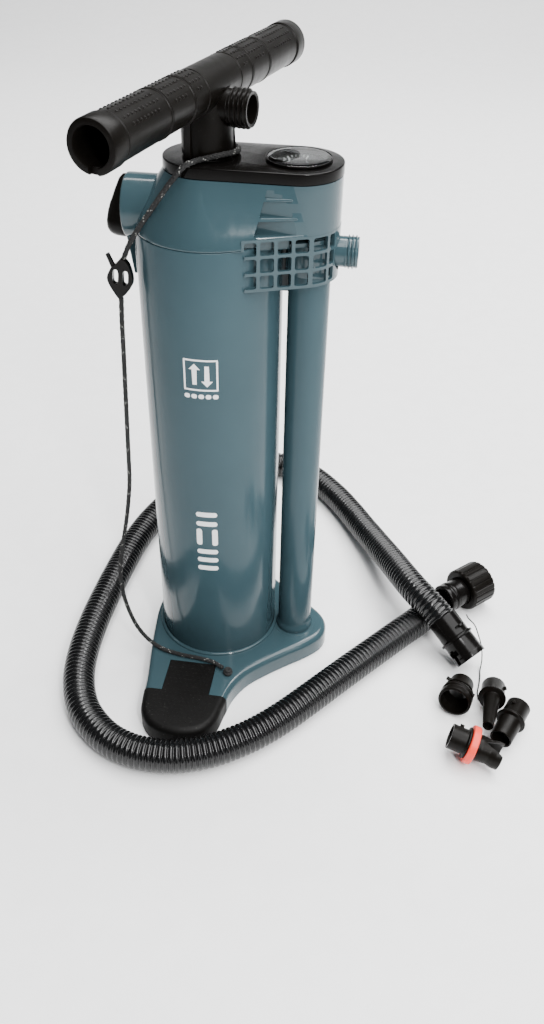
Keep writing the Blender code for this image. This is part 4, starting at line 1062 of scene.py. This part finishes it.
def make_gauge():
    at = dict(origin=(HEAD_END_X, 0, 0))
    case = rounded([(0, 437), (20.1, 437), (20.1, 449.3), (22.4, 449.3), (22.4, 451.0), (21.5, 451.0),
                    (21.5, 449.9), (19.0, 449.9), (19.0, 439), (0, 439)], 0.4)
    shell = smooth(turned("gauge_shell", case, BLACK_GLOSS, 96, **at))
    put(shell, "pump_body", "gauge_case", slot="black")
    dome_shape = [(0, 449.95), (21.3, 449.95), (21.3, 450.7), (20.6, 451.0), (18, 451.2), (13, 451.45), (7, 451.6),
                  (0, 451.68)]
    lens = smooth(turned("gauge_glass", dome_shape, LENS, 96, **at), 60)
    put(lens, "pump_body", "gauge_lens", slot="lens")
    face = turned("face", rounded([(0, 444.6), (18.8, 444.6), (18.8, 445.6), (0, 445.6)], 0.2), DIAL, 80, **at)
    cut(face, rod(1.2, (HEAD_END_X, 0, 440), (HEAD_END_X, 0, 450), 16))
    marks = bmesh.new()
    for k in range(26):
        angle = math.radians(-35 - 10 * k)
        inner = 12.6 if k % 5 == 0 else 14.2
        way = Vector((math.cos(angle), math.sin(angle), 0))
        across = Vector((-way.y, way.x, 0)) * (0.42 if k % 5 == 0 else 0.24)
        centre = Vector((HEAD_END_X, 0, 445.55))
        low = [marks.verts.new((centre + way * r + across * s) * MM)
               for r, s in ((inner, -1), (16.2, -1), (16.2, 1), (inner, 1))]
        high = [marks.verts.new(v.co + UP * 0.14 * MM) for v in low]
        marks.faces.new(high)
        marks.faces.new(low[::-1])
        for n in range(4):
            m = (n + 1) % 4
            marks.faces.new((low[n], low[m], high[m], high[n]))
    ticks = mesh_object("ticks", marks, WHITE)
    dial = smooth(merge("gauge_dial_plate", [face, ticks]))
    put(dial, "pump_body", "gauge_dial", slot="dial")
    pointer = prism("gauge_pointer", [(HEAD_END_X + x, y) for x, y in
                                      ((-13.5, -0.3), (0, -1.0), (4.5, -1.4), (4.5, 1.4), (0, 1.0),
                                       (-13.5, 0.3))], 446.3, 446.9, NATURAL)
    cap = turned("cap", rounded([(0, 445.9), (2.3, 445.9), (2.3, 447.3), (0, 447.6)], 0.4), NATURAL, 32,
                 (HEAD_END_X, 0, 0))
    join(pointer, cap)
    put(smooth(pointer), "needle", "gauge_needle", slot="red")


def make_knob():
    """The selector's grip: a thin tear-drop paddle, wide end down, with a raised spine."""
    layers = [(-58.4, 10.5, 399.3, 5.5, 427.0), (-59.8, 10.9, 399.3, 5.4, 426.9), (-62.4, 10.7, 399.1, 4.8, 425.0),
              (-65.4, 10.3, 399.0, 4.2, 419.5), (-68.2, 9.7, 399.0, 3.7, 413.5), (-70.6, 8.6, 399.0, 3.3, 408.5),
              (-72.2, 6.8, 399.0, 2.8, 404.5), (-73.0, 4.4, 399.0, 2.0, 402.0)]
    rings = []
    for x, big, low, small, high in layers:
        lean = math.asin((big - small) / (high - low))
        outline = []
        for k in range(25):
            angle = -math.pi - lean + (math.pi + 2 * lean) * k / 24
            outline.append((big * math.cos(angle), low + big * math.sin(angle)))
        for k in range(17):
            angle = lean + (math.pi - 2 * lean) * k / 16
            outline.append((small * math.cos(angle), high + small * math.sin(angle)))
        rings.append((x, outline))
    bm = bmesh.new()
    loops = [[bm.verts.new((x * MM, y * MM, z * MM)) for y, z in outline] for x, outline in rings]
    count = len(loops[0])
    for a, b in zip(loops, loops[1:]):
        for i in range(count):
            j = (i + 1) % count
            bm.faces.new((a[i], a[j], b[j], b[i]))
    bm.faces.new(loops[0])
    bm.faces.new(loops[-1][::-1])
    knob = mesh_object("selector_grip", bm, BLACK)
    cut(knob, rod(4.2, (-63.8, 0, BOSS_Z), (-50, 0, BOSS_Z), 32))
    smooth(knob, 40)
    put(knob, "selector", "selector_knob", slot="black")


# ---------------------------------------------------------------- handle

def make_handle():
    along = Vector((math.cos(BAR_ANGLE), math.sin(BAR_ANGLE), 0))
    side = Vector((along.y, -along.x, 0))
    centre = Vector((0, 0, BAR_Z))
    half = [(BAR_R, 0), (BAR_R, 24), (BAR_R - 0.5, 24.4), (BAR_R - 0.5, 25.6), (BAR_R, 26)]
    for groove in (44.5, 75.5):
        half += [(BAR_R, groove - 1.6), (BAR_R + 0.45, groove - 1.2), (BAR_R + 0.45, groove - 0.5),
                 (BAR_R - 0.4, groove), (BAR_R + 0.45, groove + 0.5), (BAR_R + 0.45, groove + 1.2),
                 (BAR_R, groove + 1.6)]
    half += [(BAR_R, 126.5), (BAR_R - 0.5, 127.2), (BAR_R - 0.5, 128.4), (BAR_R + 0.8, 129.4),
             (BAR_R + 0.8, BAR_HALF - 1.4), (BAR_R + 0.2, BAR_HALF - 0.3), (BAR_R - 0.6, BAR_HALF)]
    outline = [(r, -z) for r, z in reversed(half)] + half[1:]
    inner = [(BAR_BORE_R + 0.4, BAR_HALF), (BAR_BORE_R, BAR_HALF - 0.8), (BAR_BORE_R, 26), (0, 26)]
    inner_near = [(r, -z) for r, z in reversed(inner)]
    profile = outline + inner
    handle = turned("handle_moulding", inner_near + profile, BLACK, 96, centre, along)
    neck = [(0, HUB_BOTTOM), (16.2, HUB_BOTTOM), (17.4, HUB_BOTTOM + 1.2), (17.4, 470), (16.6, 478), (15.6, BAR_Z),
            (0, BAR_Z)]
    join(handle, turned("neck", neck, BLACK, 96))
    rib = [(-3.2, -18.8, HUB_BOTTOM + 0.5), (3.2, -18.8, HUB_BOTTOM + 0.5), (-3.2, -12, HUB_BOTTOM + 0.5),
           (3.2, -12, HUB_BOTTOM + 0.5), (-3.2, -17.2, 480), (3.2, -17.2, 480), (-3.2, -8, 482), (3.2, -8, 482)]
    for turn in (-0.62, 1.9, 3.6):
        spin = Matrix.Rotation(turn, 3, "Z")
        join(handle, hull("rib", [spin @ Vector(p) for p in rib], BLACK))
    stub = turned("stub", [(0, 2), (10.9, 2), (10.9, 17), (0, 17)], BLACK, 64, (0, 0, SIDE_PORT_Z), side)
    join(handle, stub)
    cut(handle, rod(11.3, (0, 0, 440), (0, 0, 472.4), 48), rod(8.0, (0, 0, 470), (0, 0, 482), 48))
    start = Vector((0, 0, SIDE_PORT_Z))
    cut(handle, rod(8.8, start, start + side * 40, 48))
    notch = centre - along * (BAR_HALF + 1)
    cut(handle, notch_box(notch, along, (9.0, 6.0, 8.0), -BAR_R))
    port = helix_tube("port", 10.9, 12.3, 1.2, 32.5 - 16.2, 3.2, 8.8, BLACK, start + side * 16.2, side)
    handle = merge("handle_bar", [handle, port])
    smooth(handle, 34)
    put(handle, "handle", "handle_tee", slot="black")

    bm = bmesh.new()
    for way in (-1, 1):
        for first, last, step in ((29.0, 41.5, 4.1), (49.5, 71.0, 4.3), (84.0, 122.0, 4.2)):
            count = int((last - first) / step) + 1
            for k in range(count):
                place = first + (last - first) * k / max(count - 1, 1)
                for angle in range(-60, 61, 20):
                    tilt = math.radians(90 + angle)
                    out = side * math.cos(tilt) + UP * math.sin(tilt)
                    edge = abs(angle) / 60
                    if (k in (0, count - 1)) and edge > 0.7:
                        continue
                    dome(bm, centre + along * way * place + out * (BAR_R - 0.12), out, 1.05, 0.75)
    dots = mesh_object("handle_grip_dots", bm, BLACK)
    dots.data.shade_smooth()
    put(dots, "handle", slot="black")


def notch_box(middle, along, size, drop):
    box = block("box", [-s / 2 for s in size], [s / 2 for s in size], BLACK)
    turn = Matrix.Rotation(math.atan2(along.y, along.x), 4, "Z")
    box.matrix_world = Matrix.Translation((middle + Vector((0, 0, drop))) * MM) @ turn
    return box


# ---------------------------------------------------------------- lanyard hook and knot

def make_lanyard_ends():
    outline = spline([Vector(p) for p in ((0, 1.2), (5.5, -3), (8.4, -16), (1.2, -27.6), (-1.8, -28),
                                          (-9.6, -16), (-7.6, -7), (-4, -3))][::-1], 6, closed=True)
    hook = prism("tension_hook", outline, -2.6, 2.6, BLACK_GLOSS)
    for x in (-3.9, 3.3):
        eye = spline([Vector(p) for p in ((x - 1.6, -17), (x + 1.6, -17), (x + 1.6, -8), (x - 1.6, -8))], 5, closed=True)
        cut(hook, prism("eye", eye, -5, 5, BLACK_GLOSS))
    tail = prism("tail", [(-3.6, -6.8), (-6.9, -7.2), (-11.4, 2.4), (-9.4, 3.6)][::-1], -1.3, 1.3, BLACK_GLOSS)
    join(hook, tail)
    soften(hook, 0.9, 4, 50)
    hook.matrix_world = Matrix.Translation(Vector((-56.4, -30.5, 383.1)) * MM) @ Matrix.Rotation(
        math.radians(6), 4, "Y") @ Matrix.Rotation(math.radians(90), 4, "X")
    smooth(hook, 50)
    put(hook, "pump_body", "lanyard_hook", slot="black")

    bm = bmesh.new()
    x, y = LANYARD_HOLE
    for lift, radius, lean in ((21.2, 2.6, 0.35), (22.6, 2.7, -0.5), (24.1, 1.7, 0.2)):
        ring = []
        for k in range(29):
            angle = 2 * math.pi * k / 28
            ring.append(Vector((x + radius * math.cos(angle), y + radius * math.sin(angle),
                                lift + lean * radius * math.cos(angle + 1.1))))
        tube_rings(bm, ring, [1.45] * len(ring), 10)
    stem = [Vector((x, y, 13.0 + 1.2 * k)) for k in range(11)]
    tube_rings(bm, stem, [1.9] * len(stem), 12)
    knot = mesh_object("tied_knot", bm, CORD)
    put(knot, "pump_body", "lanyard_knot", slot="cord")
    return hook, knot


# ---------------------------------------------------------------- hose ends

def make_hose_ends():
    start, end = Vector(CUFF_A[0]), Vector(CUFF_A[1])
    direction = (end - start).normalized()
    cuff = rounded([(11.2, 0), (13.6, 0), (14.3, 1.0), (14.3, 4.2), (13.4, 5.2), (13.4, 7.0), (14.3, 8.0),
                    (14.3, 10.6), (13.7, 11.4), (13.7, 30.6), (17.2, 30.6), (17.2, 34), (11.2, 34)], 0.5)
    sleeve = smooth(turned("hose_sleeve", cuff, BLACK_GLOSS, 96, start, direction))
    put(sleeve, "pump_body", "hose_cuff_a", slot="black")

    def ribs(angle, radius, z):
        if radius < 19.5 or z < 24.0:
            return radius
        phase = (angle * 22 / (2 * math.pi)) % 1.0
        return radius - (0.75 if phase < 0.22 else 0.0)
    nut = [(14.5, 23), (19.2, 23), (20.2, 23.8), (20.9, 25)]
    nut += [(20.9, 25 + k * 2.2) for k in range(1, 11)]
    nut += [(20.9, 48.6), (20.3, 50), (15.6, 50), (15.2, 49.4)]
    for k in range(4):
        top = 48.4 - k * 3.0
        nut += [(15.2, top), (14.5, top - 0.9), (14.5, top - 1.7), (15.2, top - 2.6)]
    nut += [(17.5, 36.3), (17.5, 30.3), (14.5, 30.3)]
    union = smooth(turned("union_cap", nut, BLACK, 176, start, direction, ribs), 30)
    put(union, "union", "union_nut", slot="black")

    start, end = Vector(CUFF_B[0]), Vector(CUFF_B[1])
    direction = (end - start).normalized()
    length = (end - start).length
    shape = rounded([(11.8, 0), (13.6, 0), (14.2, 0.8), (14.2, 21.4), (16.4, 22), (16.4, 24), (14.6, 24.6),
                     (14.6, length - 5), (15.0, length - 4.2), (15.0, length), (12.4, length), (12.4, 20),
                     (11.8, 18)], 0.5)
    socket = turned("bayonet_sleeve", shape, BLACK_GLOSS, 96, start, direction)
    across = direction.cross(UP).normalized()
    for way in (-1, 1):
        mouth = end + direction * 5
        cut(socket, slot_box(mouth - direction * 12, direction, across * way, (16, 12, 5)))
        cut(socket, slot_box(mouth - direction * 16, direction, across * way, (5, 12, 12)))
    ear = start + direction * 23 + Vector((0, 0, 17.0))
    tab = turned("tab", rounded([(0, -1), (4.6, -1), (4.6, 1), (0, 1)], 0.5), BLACK_GLOSS, 40, ear, direction)
    cut(tab, rod(1.5, ear - direction * 4, ear + direction * 4, 20))
    join(socket, tab)
    smooth(soften(socket, 0.35))
    put(socket, "pump_body", "bayonet_cuff", slot="black")
    return sleeve, union, socket


def slot_box(middle, direction, outward, size):
    third = direction.cross(outward).normalized()
    turn = Matrix((direction, outward, third)).transposed().to_4x4()
    box = block("slot", (-size[0] / 2, 6, -size[2] / 2), (size[0] / 2, 6 + size[1], size[2] / 2), BLACK)
    box.matrix_world = Matrix.Translation(Vector(middle) * MM) @ turn
    return box


# ---------------------------------------------------------------- adapters

ADAPTER_SCALE = 0.85
BAYONET_AT = ((230.4, -45.2, 11.4), (-0.28, -0.94, 0.18))
CONE_AT = ((258.6, -44.5, 10.8), (-0.165, -0.95, 0.267))
PLAIN_AT = ((279.0, -66.0, 13.1), (-0.42, -0.9, 0.0))
BOAT_AT = ((217.3, -113.9, 21.2), (0.96, -0.191, -0.203))


def scaled(profile, corner=0.5):
    return rounded([(r * ADAPTER_SCALE, z * ADAPTER_SCALE) for r, z in profile], corner, 3)


def lug(adapter, place, offset, angle, radius, reach, pin_radius=1.8):
    origin, direction = place
    axis = Vector(direction).normalized()
    side = axis.cross(UP).normalized()
    up = side.cross(axis)
    out = side * math.cos(angle) + up * math.sin(angle)
    foot = Vector(origin) + axis * offset + out * (radius - 1.5)
    pin = turned("pin", rounded([(0, 0), (pin_radius, 0), (pin_radius, reach + 1.5), (0, reach + 1.5)], 0.4),
                 BLACK, 24, foot, out)
    join(adapter, pin)


def make_adapters():
    shape = [(10.4, 0), (12.4, 0), (12.4, 15), (15.6, 15), (15.6, 17), (13.4, 17), (13.4, 20), (16.0, 20),
             (16.8, 21.5), (16.8, 24), (15.2, 25), (15.2, 27), (17.0, 27.6), (17.0, 34), (14.6, 35),
             (14.2, 22), (10.4, 14)]
    piece = turned("adapter_bayonet_moulding", scaled(shape), BLACK, 80, *BAYONET_AT)
    for angle in (0.35, 0.35 + math.pi):
        lug(piece, BAYONET_AT, 6, angle, 10.5, 3.9)
    put(smooth(piece), "pump_body", "adapter_bayonet", slot="black")

    shape = [(10.4, 0), (12.3, 0), (12.3, 21), (14.2, 21.4), (14.2, 23.4), (8.6, 24.4), (5.4, 74), (4.0, 74),
             (6.8, 25), (10.4, 20)]
    cone = turned("adapter_cone_moulding", scaled(shape), BLACK, 80, *CONE_AT)
    lug(cone, CONE_AT, 7.6, 2.6, 10.4, 2.0)
    put(smooth(cone), "pump_body", "adapter_cone", slot="black")

    shape = [(10.4, 0), (12.3, 0), (12.3, 21), (15.0, 21.4), (15.0, 24), (11.6, 25), (11.1, 50), (9.4, 50),
             (9.8, 25), (10.4, 20)]
    plain = turned("adapter_plain_moulding", scaled(shape), BLACK, 80, *PLAIN_AT)
    lug(plain, PLAIN_AT, 7.6, 1.2, 10.4, 2.0)
    put(smooth(plain), "pump_body", "adapter_plain", slot="black")

    origin, direction = BOAT_AT
    axis = Vector(direction).normalized()
    shape = [(10.4, 0), (12.6, 0), (12.6, 16), (15.8, 16.4), (15.8, 18.4), (13.0, 18.6), (13.0, 28.5),
             (13.4, 31), (12.2, 40), (13.6, 46), (13.6, 52), (11.2, 53), (10.6, 40), (10.4, 20)]
    boat = turned("adapter_boat_moulding", scaled(shape), BLACK, 80, origin, direction)
    side = axis.cross(UP).normalized()
    up = side.cross(axis)
    tip = Vector(origin) + axis * 29
    wedge = []
    for reach, spread in ((0, 0.6), (20, 9.0)):
        for across in (-20, 20):
            for half in (-spread, spread):
                wedge.append(tip + axis * reach + up * across + side * half)
    cut(boat, hull("notch", wedge, BLACK))
    lug(boat, BOAT_AT, 6.8, 2.4, 10.7, 2.0)
    put(smooth(soften(boat, 0.3)), "pump_body", "adapter_boat", slot="black")
    ring = [(13.3, 18.8), (18.4, 18.8), (19.2, 19.8), (19.2, 25.4), (18.4, 26.4), (13.3, 26.4)]
    seal = smooth(turned("boat_seal", scaled(ring), RED, 96, origin, direction))
    put(seal, "pump_body", "boat_adapter_ring", slot="red")
    return piece, cone, plain, boat, seal


# ---------------------------------------------------------------- CAD pieces that stay as they are

KEPT = {
    "base_plate": GREY, "base_screw_1": STEEL, "base_screw_2": STEEL, "base_screw_3": STEEL,
    "base_screw_4": STEEL, "lower_end_plate": BLACK, "barrel_lower_seal": RUBBER, "lower_air_duct": BLACK,
    "lower_check_disc": NATURAL, "rod_bush": NATURAL, "upper_end_plate": BLACK, "rod_seal": RUBBER,
    "upper_check_disc": NATURAL, "selector_spool": BLACK, "piston_lower_half": BLACK,
    "piston_upper_half": BLACK, "piston_lower_seal": RUBBER, "piston_upper_seal": RUBBER,
    "piston_lower_flap": RUBBER, "piston_upper_flap": RUBBER, "piston_rod": ROD_METAL, "rod_nut": STEEL,
    "rod_collar": BLACK, "union_washer": RUBBER}


def dress_kept():
    for name, material in KEPT.items():
        node = NODES[name]
        if not node.material_slots:
            node.data.materials.append(material)
        for slot in node.material_slots:
            slot.material = material


make_barrel()
make_print()
make_base()
make_foot_pad("front_pad", "front_foot_pad", 1)
make_foot_pad("rear_pad", "rear_foot_pad", -1)
make_head()
make_outlet()
make_top_cover()
make_gauge()
make_knob()
make_handle()
hook, knot = make_lanyard_ends()
sleeve, union, socket = make_hose_ends()
adapters = make_adapters()
dress_kept()
